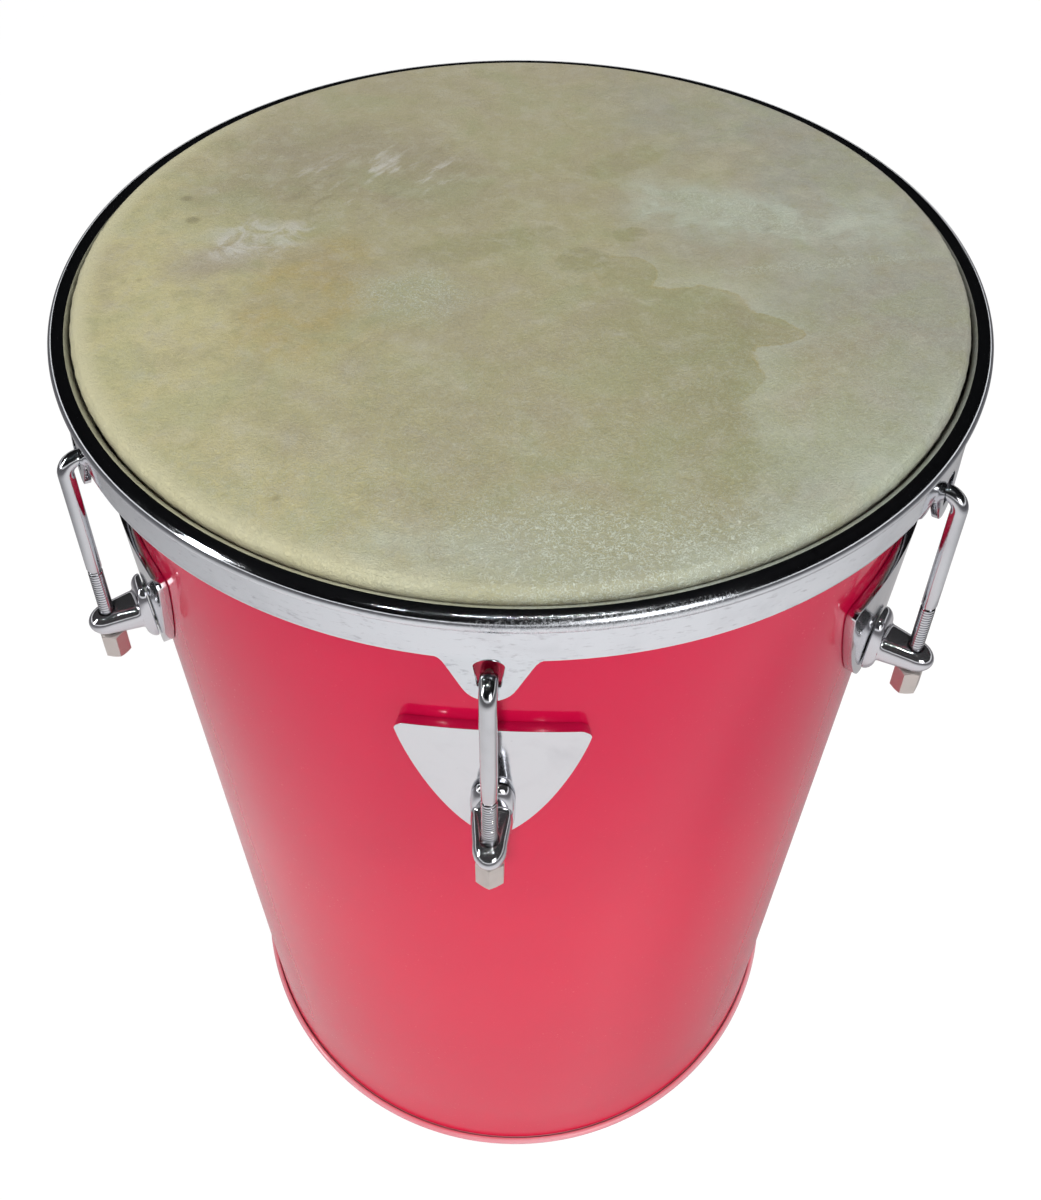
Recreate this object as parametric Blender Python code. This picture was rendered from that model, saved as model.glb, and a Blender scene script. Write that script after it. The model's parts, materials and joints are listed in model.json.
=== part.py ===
"""Rebolo drum: a sheet-metal shell with a goat skin, held and tuned by six hook rods.

Metres, +Z up. The origin is on the drum's axis, at the middle of its bottom rim.
The first lug faces -Y, and the others stand round the shell at equal angles.
"""

import math

import bmesh
import bpy
from mathutils import Matrix, Vector

# Shell
SHELL_RADIUS = 0.150
SHELL_HEIGHT = 0.464
SHELL_WALL = 0.0012
BEARING_CURL_RADIUS = 0.0022
BOTTOM_BEAD_RADIUS = 0.0022
BOTTOM_BEAD_END = math.radians(100)
BOTTOM_FLAT_DEPTH = 0.0003

# Skin and the ring it is lapped round
SKIN_THICKNESS = 0.0010
SKIN_LAP_RADIUS = 0.0010
FLESH_HOOP_HEIGHT = 0.0050
FLESH_HOOP_BEVEL = 0.0008

# Counter hoop
HOOP_DROP = 0.0060
HOOP_ROLL_RADIUS = 0.00375
HOOP_ROLL_PROUD = 0.0011
HOOP_ROLL_CLEARANCE = 0.0018
HOOP_WALL = 0.0020
SKIRT_DEPTH = 0.0142
EAR_SHOULDER_HALF_WIDTH = 0.0135
EAR_FILLET = 0.0015
EAR_FOOT_RADIUS = 0.0082
EAR_LIP = 0.0060
EAR_FLARE = 0.00188
HOOK_HOLE_HEIGHT = 0.0103
HOOK_HOLE_CROWN = 0.0025
HOOK_HOLE_SHOULDER = (0.6, 0.8)
HOOK_HOLE_HALF_WIDTH = 0.0044

# Hook rods and tuning nuts
ROD_RADIUS = 0.0027
ROD_TIP_RADIUS = 0.0015
HOOK_DROP = 0.0211
HOOK_INSIDE_RADIUS = 0.0030
HOOK_TIP_LENGTH = 0.0090
HOOK_TIP_TAPER = 0.0060
NUT_ACROSS_FLATS = 0.0090
NUT_HEIGHT = 0.0115
NUT_CHAMFER = 0.0006
ROD_END_INSET = 0.0020
NUT_TURNS = [math.radians(turn) for turn in (0, 30, 0, 0, 0, 30)]

# Lugs
LUG_COUNT = 6
LUG_DROP = 0.0986
ROD_REACH = 0.0191
ARM_ROOT_HALF_WIDTH = 0.0069
ARM_ROOT_HALF_HEIGHT = 0.0056
ARM_END_HALF_WIDTH = 0.0057
ARM_END_HALF_HEIGHT = 0.0051
ARM_NOSE = 0.0074
ARM_NOSE_TURNS = [math.radians(turn) for turn in (35, 62, 82)]
FOOT_HALF_WIDTH = 0.0075
FOOT_THICKNESS = 0.0040
FOOT_EDGE = 0.0046
FOOT_CHAMFER = 0.0008
PLATE_THICKNESS = 0.0035
PLATE_HALF_WIDTH = 0.0300
PLATE_RISE = 0.0400
PLATE_FALL = 0.0200
PLATE_CROWN = 0.0025
PLATE_CROWN_SHOULDER = 0.75
PLATE_CORNER = 0.0030

# Lug screws and washers
SCREW_OFFSET = 0.0095
SCREW_RADIUS = 0.0020
SCREW_HEAD_RADIUS = 0.0038
SCREW_HEAD_HEIGHT = 0.0026
SCREW_CROWN_RADIUS = 0.0023
SCREW_CROWN_DEPTH = 0.0010
SCREW_BITE = 0.0028
WASHER_RADIUS = 0.0050
WASHER_THICKNESS = 0.0010

# Fits
SEAT_GAP = 0.0003
LAP_GAP = 0.0006
ROD_GAP = 0.0003
HOOK_HOLE_GAP = 0.0006
NUT_GAP = 0.0006
SCREW_GAP = 0.0003

# Facets of the turned and bent pieces
RING_SIDES = 60
ROD_SIDES = 8
BORE_SIDES = 12
SCREW_SIDES = 8
ARM_SIDES = 12
CURL_STEPS = 5
BEAD_START_STEPS = 2
BEARING_STEPS = 6
BEARING_INSIDE_STEPS = 4
FOLD_STEPS = 2
ROLL_STEPS = 10
BEND_STEPS = 6
FOOT_STEPS = 4
PLAIN_STEPS = 9
PLATE_STEPS = 8
PLATE_CUT_STEP = 0.0075

# Shading and welding
SHARP_ANGLE = math.radians(35)
SAME_LEVEL = 0.000001

# Outlines: how square a rounded section is, and how the plate narrows to its tip
FOOT_SQUARENESS = 5.0
ARM_SQUARENESS = 2.6
PLATE_NARROWING = 1.3
PLATE_TIP_ROUNDING = 0.66

# Shell, skin and hoops: radii and levels that follow from the sizes above
SHELL_INSIDE = SHELL_RADIUS - SHELL_WALL
BEARING_AT = (SHELL_RADIUS - BEARING_CURL_RADIUS, SHELL_HEIGHT - BEARING_CURL_RADIUS)
BEAD_AT = (SHELL_INSIDE + BOTTOM_BEAD_RADIUS, BOTTOM_BEAD_RADIUS - BOTTOM_FLAT_DEPTH)
SKIN_OUTSIDE = SHELL_RADIUS + SEAT_GAP + SKIN_THICKNESS
SKIN_TOP = SHELL_HEIGHT + SEAT_GAP + SKIN_THICKNESS
ROLL_AT = (SKIN_OUTSIDE + HOOP_ROLL_CLEARANCE + HOOP_ROLL_RADIUS, SKIN_TOP - HOOP_DROP)
SKIRT_OUTSIDE = ROLL_AT[0] + HOOP_ROLL_RADIUS - HOOP_ROLL_PROUD
SKIRT_INSIDE = SKIRT_OUTSIDE - HOOP_WALL
SKIRT_LOW = ROLL_AT[1] - SKIRT_DEPTH
FLARE_START = SKIRT_LOW + HOOP_WALL / 2
LAP_OUTSIDE = SKIRT_INSIDE - LAP_GAP
LAP_TOP = ROLL_AT[1] - HOOP_ROLL_RADIUS - SEAT_GAP
FLESH_INSIDE = SKIN_OUTSIDE + SEAT_GAP
FLESH_OUTSIDE = LAP_OUTSIDE - SKIN_THICKNESS - SEAT_GAP
FLESH_TOP = LAP_TOP - SKIN_THICKNESS - SEAT_GAP
FLESH_LOW = FLESH_TOP - FLESH_HOOP_HEIGHT

# Hooks: the bend's centre, the ear's lip that it hangs on, and the rod's line down to the lug
BEND_RADIUS = HOOK_INSIDE_RADIUS + ROD_RADIUS
BEND_LEVEL = ROLL_AT[1] - HOOK_DROP - BEND_RADIUS
HOLE_LOW = BEND_LEVEL + math.sqrt(
    (HOOK_INSIDE_RADIUS - ROD_GAP) ** 2 - (HOOP_WALL / 2 + ROD_GAP) ** 2)
HOLE_TOP = HOLE_LOW + HOOK_HOLE_HEIGHT
EAR_LOW = HOLE_LOW - EAR_LIP


def ear_flare(level):
    """How far the hoop's band stands out at a level, beyond its straight skirt."""
    return max(0.0, EAR_FLARE * (FLARE_START - level) / (FLARE_START - EAR_LOW))


EAR_MIDDLE_AT = (SKIRT_INSIDE + SKIRT_OUTSIDE) / 2 + ear_flare(HOLE_LOW)
LUG_LEVEL = ROLL_AT[1] - LUG_DROP
ROD_AT = SHELL_RADIUS + ROD_REACH
HOOK_IN = ROD_AT - EAR_MIDDLE_AT
HOOK_UP = BEND_LEVEL - LUG_LEVEL
HOOK_AWAY = math.hypot(HOOK_IN, HOOK_UP)
ROD_LEAN = math.atan2(HOOK_IN, HOOK_UP) - math.asin(BEND_RADIUS / HOOK_AWAY)
SHANK_TOP = math.sqrt(HOOK_AWAY ** 2 - BEND_RADIUS ** 2)

# Lugs: the stack from the shell out to the arm's foot, and from the shell in to the screw head
PLATE_INSIDE = SHELL_RADIUS + SEAT_GAP
FOOT_BACK = PLATE_INSIDE + PLATE_THICKNESS + SEAT_GAP
FOOT_FACE = FOOT_BACK + FOOT_THICKNESS
FOOT_HALF_HEIGHT = SCREW_OFFSET + FOOT_EDGE
SCREW_END = FOOT_BACK + SCREW_BITE
WASHER_SEAT = SHELL_INSIDE * math.cos(math.pi / RING_SIDES) - SEAT_GAP
HEAD_SEAT = WASHER_SEAT - WASHER_THICKNESS - SEAT_GAP
NUT_TOP = -(ARM_END_HALF_HEIGHT + NUT_GAP)
NUT_LOW = NUT_TOP - NUT_HEIGHT
LUG_ANGLES = [2 * math.pi * index / LUG_COUNT - math.pi / 2 for index in range(LUG_COUNT)]
OUT, ROUND, UP = Vector((1, 0, 0)), Vector((0, 1, 0)), Vector((0, 0, 1))


# Helpers
def clear_scene():
    """Remove every object that the file opened with."""
    for old in list(bpy.data.objects):
        bpy.data.objects.remove(old, do_unlink=True)


def finish(name, colour, roughness, metallic, coat=0.0):
    """A material with one Principled BSDF."""
    material = bpy.data.materials.new(name)
    material.use_nodes = True
    shader = material.node_tree.nodes["Principled BSDF"]
    shader.inputs["Base Color"].default_value = (*colour, 1.0)
    shader.inputs["Roughness"].default_value = roughness
    shader.inputs["Metallic"].default_value = metallic
    shader.inputs["Coat Weight"].default_value = coat
    return material


def add_object(name, bm, material=None, matrix=None, parent=None):
    """Turn a bmesh into one smooth-shaded object, and free the bmesh."""
    bmesh.ops.recalc_face_normals(bm, faces=bm.faces)
    mesh = bpy.data.meshes.new(name)
    bm.to_mesh(mesh)
    bm.free()
    mesh.shade_smooth()
    mesh.set_sharp_from_angle(angle=SHARP_ANGLE)
    if material:
        mesh.materials.append(material)
    return place_object(name, mesh, matrix, parent)


def place_object(name, mesh, matrix=None, parent=None):
    """Put a mesh in the scene under its own name."""
    item = bpy.data.objects.new(name, mesh)
    bpy.context.collection.objects.link(item)
    item.parent = parent
    if matrix is not None:
        item.matrix_local = matrix
    return item


def add_guide(name, matrix):
    """An empty that carries a lug's or a rod's axes."""
    guide = place_object(name, None)
    guide.matrix_world = matrix
    return guide


def cut(target, cutter):
    """Take a cutter's shape out of a piece. The Boolean stays on the piece."""
    cutter.hide_render = True
    cutter.display_type = "WIRE"
    modifier = target.modifiers.new(cutter.name, "BOOLEAN")
    modifier.operation = "DIFFERENCE"
    modifier.solver = "EXACT"
    modifier.object = cutter


def arc(centre, radius, start, end, steps):
    """Points of an arc in the (radius, level) plane, with both its ends."""
    turns = [start + (end - start) * step / steps for step in range(steps + 1)]
    return [(centre[0] + radius * math.cos(turn), centre[1] + radius * math.sin(turn))
            for turn in turns]


def skin_rings(bm, rings, closed):
    """Join rings of vertices with four-sided faces, and the last to the first if closed."""
    following = rings[1:] + rings[:1] if closed else rings[1:]
    for here, there in zip(rings, following):
        for index in range(len(here)):
            beside = (index + 1) % len(here)
            bm.faces.new((here[index], here[beside], there[beside], there[index]))


def lofted(outlines, capped=True):
    """A closed body through outlines of equal length: capped at its ends, or joined end to end."""
    bm = bmesh.new()
    rings = [[bm.verts.new(point) for point in outline] for outline in outlines]
    skin_rings(bm, rings, closed=not capped)
    if capped:
        bm.faces.new(rings[0])
        bm.faces.new(rings[-1])
    return bm


def turned(profile):
    """Turn a closed (radius, level) outline about the drum's axis, a flat side to each lug."""
    step = 2 * math.pi / RING_SIDES
    turns = [LUG_ANGLES[0] + step * (side + 0.5) for side in range(RING_SIDES)]
    return lofted([[(r * math.cos(turn), r * math.sin(turn), z) for r, z in profile]
                   for turn in turns], capped=False)


def circle(centre, radius, sides, across=OUT, along=ROUND):
    """Points of a circle in the plane of two unit directions."""
    turns = [2 * math.pi * side / sides for side in range(sides)]
    return [centre + radius * (math.cos(turn) * across + math.sin(turn) * along)
            for turn in turns]


def clear_of(radius, gap, sides):
    """Corner radius of a faceted bore whose flats clear a round piece by a gap."""
    return (radius + gap) / math.cos(math.pi / sides)


def lug_axes(angle):
    """Axes at a lug: +X out from the drum, +Y round it, +Z up."""
    return Matrix.Rotation(angle, 4, "Z")


def rod_axes(angle):
    """Axes on a rod's own line, with the origin at the middle of the lug arm."""
    lean = Matrix.Rotation(-ROD_LEAN, 4, "Y")
    return lug_axes(angle) @ Matrix.Translation((ROD_AT, 0, LUG_LEVEL)) @ lean


# Shell: one sheet, curled in at its top edge and out into a bead at the bottom
def shell_outline():
    """The sheet's section: round the bottom bead, up the outside and down the inside."""
    low = 3 * math.pi / 2
    half_flat = math.acos(1 - BOTTOM_FLAT_DEPTH / BOTTOM_BEAD_RADIUS)
    bead_end = BOTTOM_BEAD_END + 2 * math.pi
    outline = arc(BEAD_AT, BOTTOM_BEAD_RADIUS, math.pi, low - half_flat, BEAD_START_STEPS)
    outline += arc(BEAD_AT, BOTTOM_BEAD_RADIUS, low + half_flat, bead_end, CURL_STEPS)
    outline += arc(BEAD_AT, BOTTOM_BEAD_RADIUS - SHELL_WALL, bead_end, math.pi, CURL_STEPS)
    outline += arc(BEARING_AT, BEARING_CURL_RADIUS, 0, math.pi, BEARING_STEPS)
    outline += arc(BEARING_AT, BEARING_CURL_RADIUS - SHELL_WALL, math.pi, 0,
                   BEARING_INSIDE_STEPS)
    return outline


def make_screw_bores():
    """A guide with one radial bore for every lug screw, through shell, plate and foot."""
    bm = bmesh.new()
    radius = clear_of(SCREW_RADIUS, SCREW_GAP, SCREW_SIDES)
    for angle in LUG_ANGLES:
        axes = lug_axes(angle)
        for side in (1, -1):
            level = UP * (LUG_LEVEL + side * SCREW_OFFSET)
            rings = [[bm.verts.new(axes @ point) for point in
                      circle(OUT * reach + level, radius, SCREW_SIDES, ROUND, UP)]
                     for reach in (HEAD_SEAT, SCREW_END + SCREW_GAP)]
            skin_rings(bm, rings, closed=False)
            bm.faces.new(rings[0])
            bm.faces.new(rings[1])
    return add_object("screw_bores", bm)


def make_shell(material, bores):
    """The red sheet-metal shell with its screw holes."""
    cut(add_object("shell", turned(shell_outline()), material), bores)


# Skin: over the bearing edge, down the shell and round the flesh hoop
def lap_centres():
    """Centres of the three folds round the flesh hoop: inner low, outer low, outer top."""
    inner = SKIN_OUTSIDE + SKIN_LAP_RADIUS
    outer = LAP_OUTSIDE - SKIN_THICKNESS - SKIN_LAP_RADIUS
    low = FLESH_LOW - SEAT_GAP + SKIN_LAP_RADIUS
    top = LAP_TOP - SKIN_THICKNESS - SKIN_LAP_RADIUS
    return (inner, low), (outer, low), (outer, top)


def skin_side(edge_radius, fold_radius, edge_level, lap_level):
    """One face of the skin, from near the axis out to the end of its lap."""
    quarter = math.pi / 2
    inner_low, outer_low, outer_top = lap_centres()
    side = [(SKIN_LAP_RADIUS, edge_level)]
    side += arc(BEARING_AT, edge_radius, quarter, 0, BEARING_INSIDE_STEPS)
    side += arc(inner_low, fold_radius, 2 * quarter, 3 * quarter, FOLD_STEPS)
    side += arc(outer_low, fold_radius, -quarter, 0, FOLD_STEPS)
    side += arc(outer_top, fold_radius, 0, quarter, FOLD_STEPS)
    side.append((FLESH_INSIDE + SEAT_GAP, lap_level))
    return side


def make_skin(material):
    """The drum skin, turned as two faces and closed at the axis and at the end of its lap."""
    under = BEARING_CURL_RADIUS + SEAT_GAP
    face = skin_side(under + SKIN_THICKNESS, SKIN_LAP_RADIUS, SKIN_TOP, LAP_TOP - SKIN_THICKNESS)
    back = skin_side(under, SKIN_LAP_RADIUS + SKIN_THICKNESS, SKIN_TOP - SKIN_THICKNESS, LAP_TOP)
    bm = turned(face + back[::-1])
    middle = [edge for edge in bm.edges
              if all(vert.co.xy.length < 2 * SKIN_LAP_RADIUS for vert in edge.verts)]
    bmesh.ops.delete(bm, geom=[f for f in bm.faces if all(e in middle for e in f.edges)],
                     context="FACES_ONLY")
    for level in (SKIN_TOP, SKIN_TOP - SKIN_THICKNESS):
        ring = [vert for vert in bm.verts
                if vert.co.xy.length < 2 * SKIN_LAP_RADIUS and abs(vert.co.z - level) < SAME_LEVEL]
        bmesh.ops.pointmerge(bm, verts=ring, merge_co=(0, 0, level))
    return add_object("drum_skin", bm, material)


def make_flesh_hoop(material):
    """The ring inside the lap of the skin, with its four edges taken off."""
    b = FLESH_HOOP_BEVEL
    outline = [
        (FLESH_INSIDE, FLESH_LOW + b), (FLESH_INSIDE + b, FLESH_LOW),
        (FLESH_OUTSIDE - b, FLESH_LOW), (FLESH_OUTSIDE, FLESH_LOW + b),
        (FLESH_OUTSIDE, FLESH_TOP - b), (FLESH_OUTSIDE - b, FLESH_TOP),
        (FLESH_INSIDE + b, FLESH_TOP), (FLESH_INSIDE, FLESH_TOP - b),
    ]
    add_object("flesh_hoop", turned(outline), material)


# Counter hoop: a rolled top, a skirt, and an ear under the skirt at each lug
def ear_edge():
    """Half of an ear's edge as (distance round the skirt, level), foot first."""
    foot_at = (0.0, EAR_LOW + EAR_FOOT_RADIUS)
    shoulder = (EAR_SHOULDER_HALF_WIDTH, SKIRT_LOW - foot_at[1])
    away = math.hypot(*shoulder)
    touch = math.atan2(shoulder[1], shoulder[0]) - math.acos(EAR_FOOT_RADIUS / away)
    edge = arc(foot_at, EAR_FOOT_RADIUS, -math.pi / 2, touch, FOOT_STEPS)
    slope = Vector((edge[-1][0] - shoulder[0], edge[-1][1] - SKIRT_LOW)).normalized()
    edge.append((shoulder[0] + slope.x * EAR_FILLET, SKIRT_LOW + slope.y * EAR_FILLET))
    edge.append((shoulder[0] + EAR_FILLET, SKIRT_LOW))
    return edge


def hoop_stations():
    """(angle, lowest level) of every section round the counter hoop."""
    half = [(distance / SKIRT_OUTSIDE, level) for distance, level in ear_edge()]
    plain = 2 * math.pi / LUG_COUNT - 2 * half[-1][0]
    stations = []
    for angle in LUG_ANGLES:
        stations += [(angle - turn, level) for turn, level in half[:0:-1]]
        stations += [(angle + turn, level) for turn, level in half]
        stations += [(angle + half[-1][0] + plain * step / PLAIN_STEPS, SKIRT_LOW)
                     for step in range(1, PLAIN_STEPS)]
    return stations


def hoop_outline(lowest):
    """The hoop's section where its band ends at a level: round the roll and down the band."""
    start = -math.acos((SKIRT_OUTSIDE - ROLL_AT[0]) / HOOP_ROLL_RADIUS)
    end = 2 * math.pi - math.acos((SKIRT_INSIDE - ROLL_AT[0]) / HOOP_ROLL_RADIUS)
    flare = ear_flare(lowest)
    outline = arc(ROLL_AT, HOOP_ROLL_RADIUS, start, end, ROLL_STEPS)
    outline += [(SKIRT_INSIDE, FLARE_START), (SKIRT_INSIDE + flare, lowest)]
    outline += [(SKIRT_OUTSIDE + flare, lowest), (SKIRT_OUTSIDE, FLARE_START)]
    return outline


def hook_hole_outline():
    """The hook hole as (distance round, level): narrow below, wider above, with an arched top."""
    low_half = ROD_RADIUS + HOOK_HOLE_GAP
    wide = HOOK_HOLE_HALF_WIDTH
    side = HOLE_TOP - HOOK_HOLE_CROWN
    shoulder = HOOK_HOLE_HALF_WIDTH * HOOK_HOLE_SHOULDER[0]
    crown = side + HOOK_HOLE_CROWN * HOOK_HOLE_SHOULDER[1]
    return [(-low_half, HOLE_LOW), (low_half, HOLE_LOW), (wide, side), (shoulder, crown),
            (0, HOLE_TOP), (-shoulder, crown), (-wide, side)]


def make_hook_holes():
    """A guide with one radial prism for every hook hole."""
    bm = bmesh.new()
    for angle in LUG_ANGLES:
        axes = lug_axes(angle)
        rings = [[bm.verts.new(axes @ Vector((reach, y, z))) for y, z in hook_hole_outline()]
                 for reach in (SKIRT_INSIDE - HOOP_WALL, SKIRT_OUTSIDE + EAR_FLARE + HOOP_WALL)]
        skin_rings(bm, rings, closed=False)
        bm.faces.new(rings[0])
        bm.faces.new(rings[1])
    return add_object("hook_holes", bm)


def make_counter_hoop(material):
    """The chromed hoop, cut by its hook holes."""
    sections = [[(r * math.cos(angle), r * math.sin(angle), z) for r, z in hoop_outline(lowest)]
                for angle, lowest in hoop_stations()]
    hoop = add_object("counter_hoop", lofted(sections, capped=False), material)
    cut(hoop, make_hook_holes())


# Lug plates: a rounded shield that follows the shell
def plate_outline():
    """The plate's edge as (distance round, height above the arm), one half and its mirror."""
    fall = PLATE_RISE + PLATE_FALL
    half = [(PLATE_HALF_WIDTH - PLATE_CORNER, PLATE_RISE)]
    for step in range(PLATE_STEPS):
        down = max(PLATE_CORNER / fall, math.sin(math.pi / 2 * step / PLATE_STEPS))
        width = (1 - down ** PLATE_NARROWING) ** PLATE_TIP_ROUNDING
        half.append((PLATE_HALF_WIDTH * width, PLATE_RISE - fall * down))
    crown = [(half[0][0] / 2, PLATE_RISE + PLATE_CROWN * PLATE_CROWN_SHOULDER)]
    right = crown + half
    left = [(-y, z) for y, z in reversed(right)]
    return [(0, PLATE_RISE + PLATE_CROWN)] + right + [(0, -PLATE_FALL)] + left


def make_plate_mesh():
    """The plate drawn flat, cut into upright strips, thickened and wrapped round the shell."""
    bm = bmesh.new()
    bm.faces.new([bm.verts.new((0, y, z)) for y, z in plate_outline()])
    cuts = math.ceil(PLATE_HALF_WIDTH / PLATE_CUT_STEP)
    for index in range(1 - cuts, cuts):
        bmesh.ops.bisect_plane(bm, geom=bm.verts[:] + bm.edges[:] + bm.faces[:],
                               plane_co=(0, index * PLATE_CUT_STEP, 0), plane_no=(0, 1, 0))
    flat = bmesh.ops.extrude_face_region(bm, geom=bm.faces[:])
    for item in flat["geom"]:
        if isinstance(item, bmesh.types.BMVert):
            item.co.x = PLATE_THICKNESS
    for vert in bm.verts:
        reach = PLATE_INSIDE + vert.co.x
        turn = vert.co.y / PLATE_INSIDE
        vert.co = (reach * math.cos(turn), reach * math.sin(turn), LUG_LEVEL + vert.co.z)
    return bm


# Lug arms: a screwed foot and a rounded arm with an eye for the rod
def rounded_section(reach, half_width, half_height, squareness):
    """A section across the arm: a superellipse round the arm's middle."""
    points = []
    for side in range(ARM_SIDES):
        turn = 2 * math.pi * side / ARM_SIDES
        y = math.copysign(abs(math.cos(turn)) ** (2 / squareness), math.cos(turn))
        z = math.copysign(abs(math.sin(turn)) ** (2 / squareness), math.sin(turn))
        points.append(Vector((reach, half_width * y, LUG_LEVEL + half_height * z)))
    return points


def make_arm_mesh():
    """Foot, arm and rounded nose in one casting, out along +X."""
    foot = (FOOT_HALF_WIDTH, FOOT_HALF_HEIGHT)
    root = (ARM_ROOT_HALF_WIDTH, ARM_ROOT_HALF_HEIGHT)
    end = (ARM_END_HALF_WIDTH, ARM_END_HALF_HEIGHT)
    sections = [
        (FOOT_BACK, *foot, FOOT_SQUARENESS),
        (FOOT_FACE - FOOT_CHAMFER, *foot, FOOT_SQUARENESS),
        (FOOT_FACE, foot[0] - FOOT_CHAMFER / 2, foot[1] - FOOT_CHAMFER, FOOT_SQUARENESS),
        (FOOT_FACE + FOOT_CHAMFER, *root, ARM_SQUARENESS),
        (ROD_AT, *end, ARM_SQUARENESS),
    ]
    for turn in ARM_NOSE_TURNS:
        shrink = math.cos(turn)
        sections.append((ROD_AT + ARM_NOSE * math.sin(turn), end[0] * shrink, end[1] * shrink,
                         ARM_SQUARENESS))
    return lofted([rounded_section(*section) for section in sections])


def make_eye_bore(guide):
    """The rod's eye through a lug arm, on the rod's own line."""
    radius = clear_of(ROD_RADIUS, ROD_GAP, BORE_SIDES)
    reach = 2 * ARM_ROOT_HALF_HEIGHT
    ends = [circle(UP * level, radius, BORE_SIDES) for level in (-reach, reach)]
    return add_object(f"eye_bore_{guide.name}", lofted(ends), parent=guide)


# Hook rods: a straight shank, a half turn through the ear, and a short tapered tip
def make_rod_mesh():
    """The rod along local +Z, its hook towards -X, as one tube."""
    low = NUT_LOW + ROD_END_INSET
    sections = [(OUT * 0 + UP * low, OUT, ROD_RADIUS), (UP * SHANK_TOP, OUT, ROD_RADIUS)]
    bend_at = UP * SHANK_TOP - OUT * BEND_RADIUS
    for step in range(1, BEND_STEPS + 1):
        turn = math.pi * step / BEND_STEPS
        across = math.cos(turn) * OUT + math.sin(turn) * UP
        sections.append((bend_at + BEND_RADIUS * across, across, ROD_RADIUS))
    tip_at = UP * SHANK_TOP - OUT * 2 * BEND_RADIUS
    sections.append((tip_at - UP * (HOOK_TIP_LENGTH - HOOK_TIP_TAPER), -OUT, ROD_RADIUS))
    sections.append((tip_at - UP * HOOK_TIP_LENGTH, -OUT, ROD_TIP_RADIUS))
    return lofted([circle(centre, radius, ROD_SIDES, across, ROUND)
                   for centre, across, radius in sections])


# Tuning nuts: a tall hexagon on the rod's thread, under the arm
def make_nut_mesh():
    """A nut about local Z: hexagon outside, round bore, both ends chamfered."""
    corner = NUT_ACROSS_FLATS / 2 / math.cos(math.pi / 6)
    bore = clear_of(ROD_RADIUS, ROD_GAP, BORE_SIDES)

    def hexagon(radius, level):
        turns = [2 * math.pi * side / BORE_SIDES for side in range(BORE_SIDES)]
        flats = [radius * (1 if side % 2 == 0 else math.cos(math.pi / 6))
                 for side in range(BORE_SIDES)]
        return [Vector((flat * math.cos(turn), flat * math.sin(turn), level))
                for flat, turn in zip(flats, turns)]

    return lofted([
        circle(UP * NUT_TOP, bore, BORE_SIDES),
        hexagon(corner - NUT_CHAMFER, NUT_TOP),
        hexagon(corner, NUT_TOP - NUT_CHAMFER),
        hexagon(corner, NUT_LOW + NUT_CHAMFER),
        hexagon(corner - NUT_CHAMFER, NUT_LOW),
        circle(UP * NUT_LOW, bore, BORE_SIDES),
    ], capped=False)


# Lug screws and washers, from inside the shell
def make_screw_mesh():
    """A pan-head screw about local X, its head towards the drum's axis."""
    crown = HEAD_SEAT - SCREW_HEAD_HEIGHT
    sections = [
        (crown, SCREW_CROWN_RADIUS), (crown + SCREW_CROWN_DEPTH, SCREW_HEAD_RADIUS),
        (HEAD_SEAT, SCREW_HEAD_RADIUS), (HEAD_SEAT, SCREW_RADIUS), (SCREW_END, SCREW_RADIUS),
    ]
    return lofted([circle(OUT * reach, radius, SCREW_SIDES, ROUND, UP)
                   for reach, radius in sections])


def make_washer_mesh():
    """A flat washer about local X, against the flat inside the shell."""
    bore = clear_of(SCREW_RADIUS, SCREW_GAP, SCREW_SIDES)
    inner = WASHER_SEAT - WASHER_THICKNESS
    sections = [(inner, bore), (inner, WASHER_RADIUS), (WASHER_SEAT, WASHER_RADIUS),
                (WASHER_SEAT, bore)]
    return lofted([circle(OUT * reach, radius, SCREW_SIDES, ROUND, UP)
                   for reach, radius in sections], capped=False)


def make_lug(number, angle, finishes, bores):
    """One lug with its plate, arm, rod, nut, screws and washers."""
    lug = add_guide(f"lug_{number}", lug_axes(angle))
    rod_line = add_guide(f"rod_line_{number}", rod_axes(angle))
    plate = add_object(f"lug_plate_{number}", make_plate_mesh(), finishes["chrome"], parent=lug)
    arm = add_object(f"lug_arm_{number}", make_arm_mesh(), finishes["chrome"], parent=lug)
    cut(plate, bores)
    cut(arm, bores)
    cut(arm, make_eye_bore(rod_line))
    add_object(f"hook_rod_{number}", make_rod_mesh(), finishes["chrome"], parent=rod_line)
    turn = Matrix.Rotation(NUT_TURNS[number - 1], 4, "Z")
    add_object(f"tuning_nut_{number}", make_nut_mesh(), finishes["nickel"], turn, rod_line)
    for side, place in ((1, "upper"), (-1, "lower")):
        level = Matrix.Translation(UP * (LUG_LEVEL + side * SCREW_OFFSET))
        add_object(f"lug_screw_{place}_{number}", make_screw_mesh(), finishes["zinc"], level, lug)
        add_object(f"lug_washer_{place}_{number}", make_washer_mesh(), finishes["zinc"], level, lug)


def build_drum():
    """Every piece of the drum, from the shell outwards."""
    clear_scene()
    finishes = {
        "chrome": finish("chrome", (0.80, 0.81, 0.83), 0.06, 1.0),
        "nickel": finish("nickel", (0.66, 0.60, 0.56), 0.24, 1.0),
        "zinc": finish("zinc_steel", (0.62, 0.62, 0.60), 0.32, 1.0),
    }
    bores = make_screw_bores()
    make_shell(finish("red_lacquer", (0.62, 0.035, 0.065), 0.22, 0.25, coat=0.8), bores)
    make_skin(finish("goat_skin", (0.47, 0.42, 0.26), 0.55, 0.0))
    make_flesh_hoop(finishes["zinc"])
    make_counter_hoop(finishes["chrome"])
    for number, angle in enumerate(LUG_ANGLES, start=1):
        make_lug(number, angle, finishes, bores)


build_drum()
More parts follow.
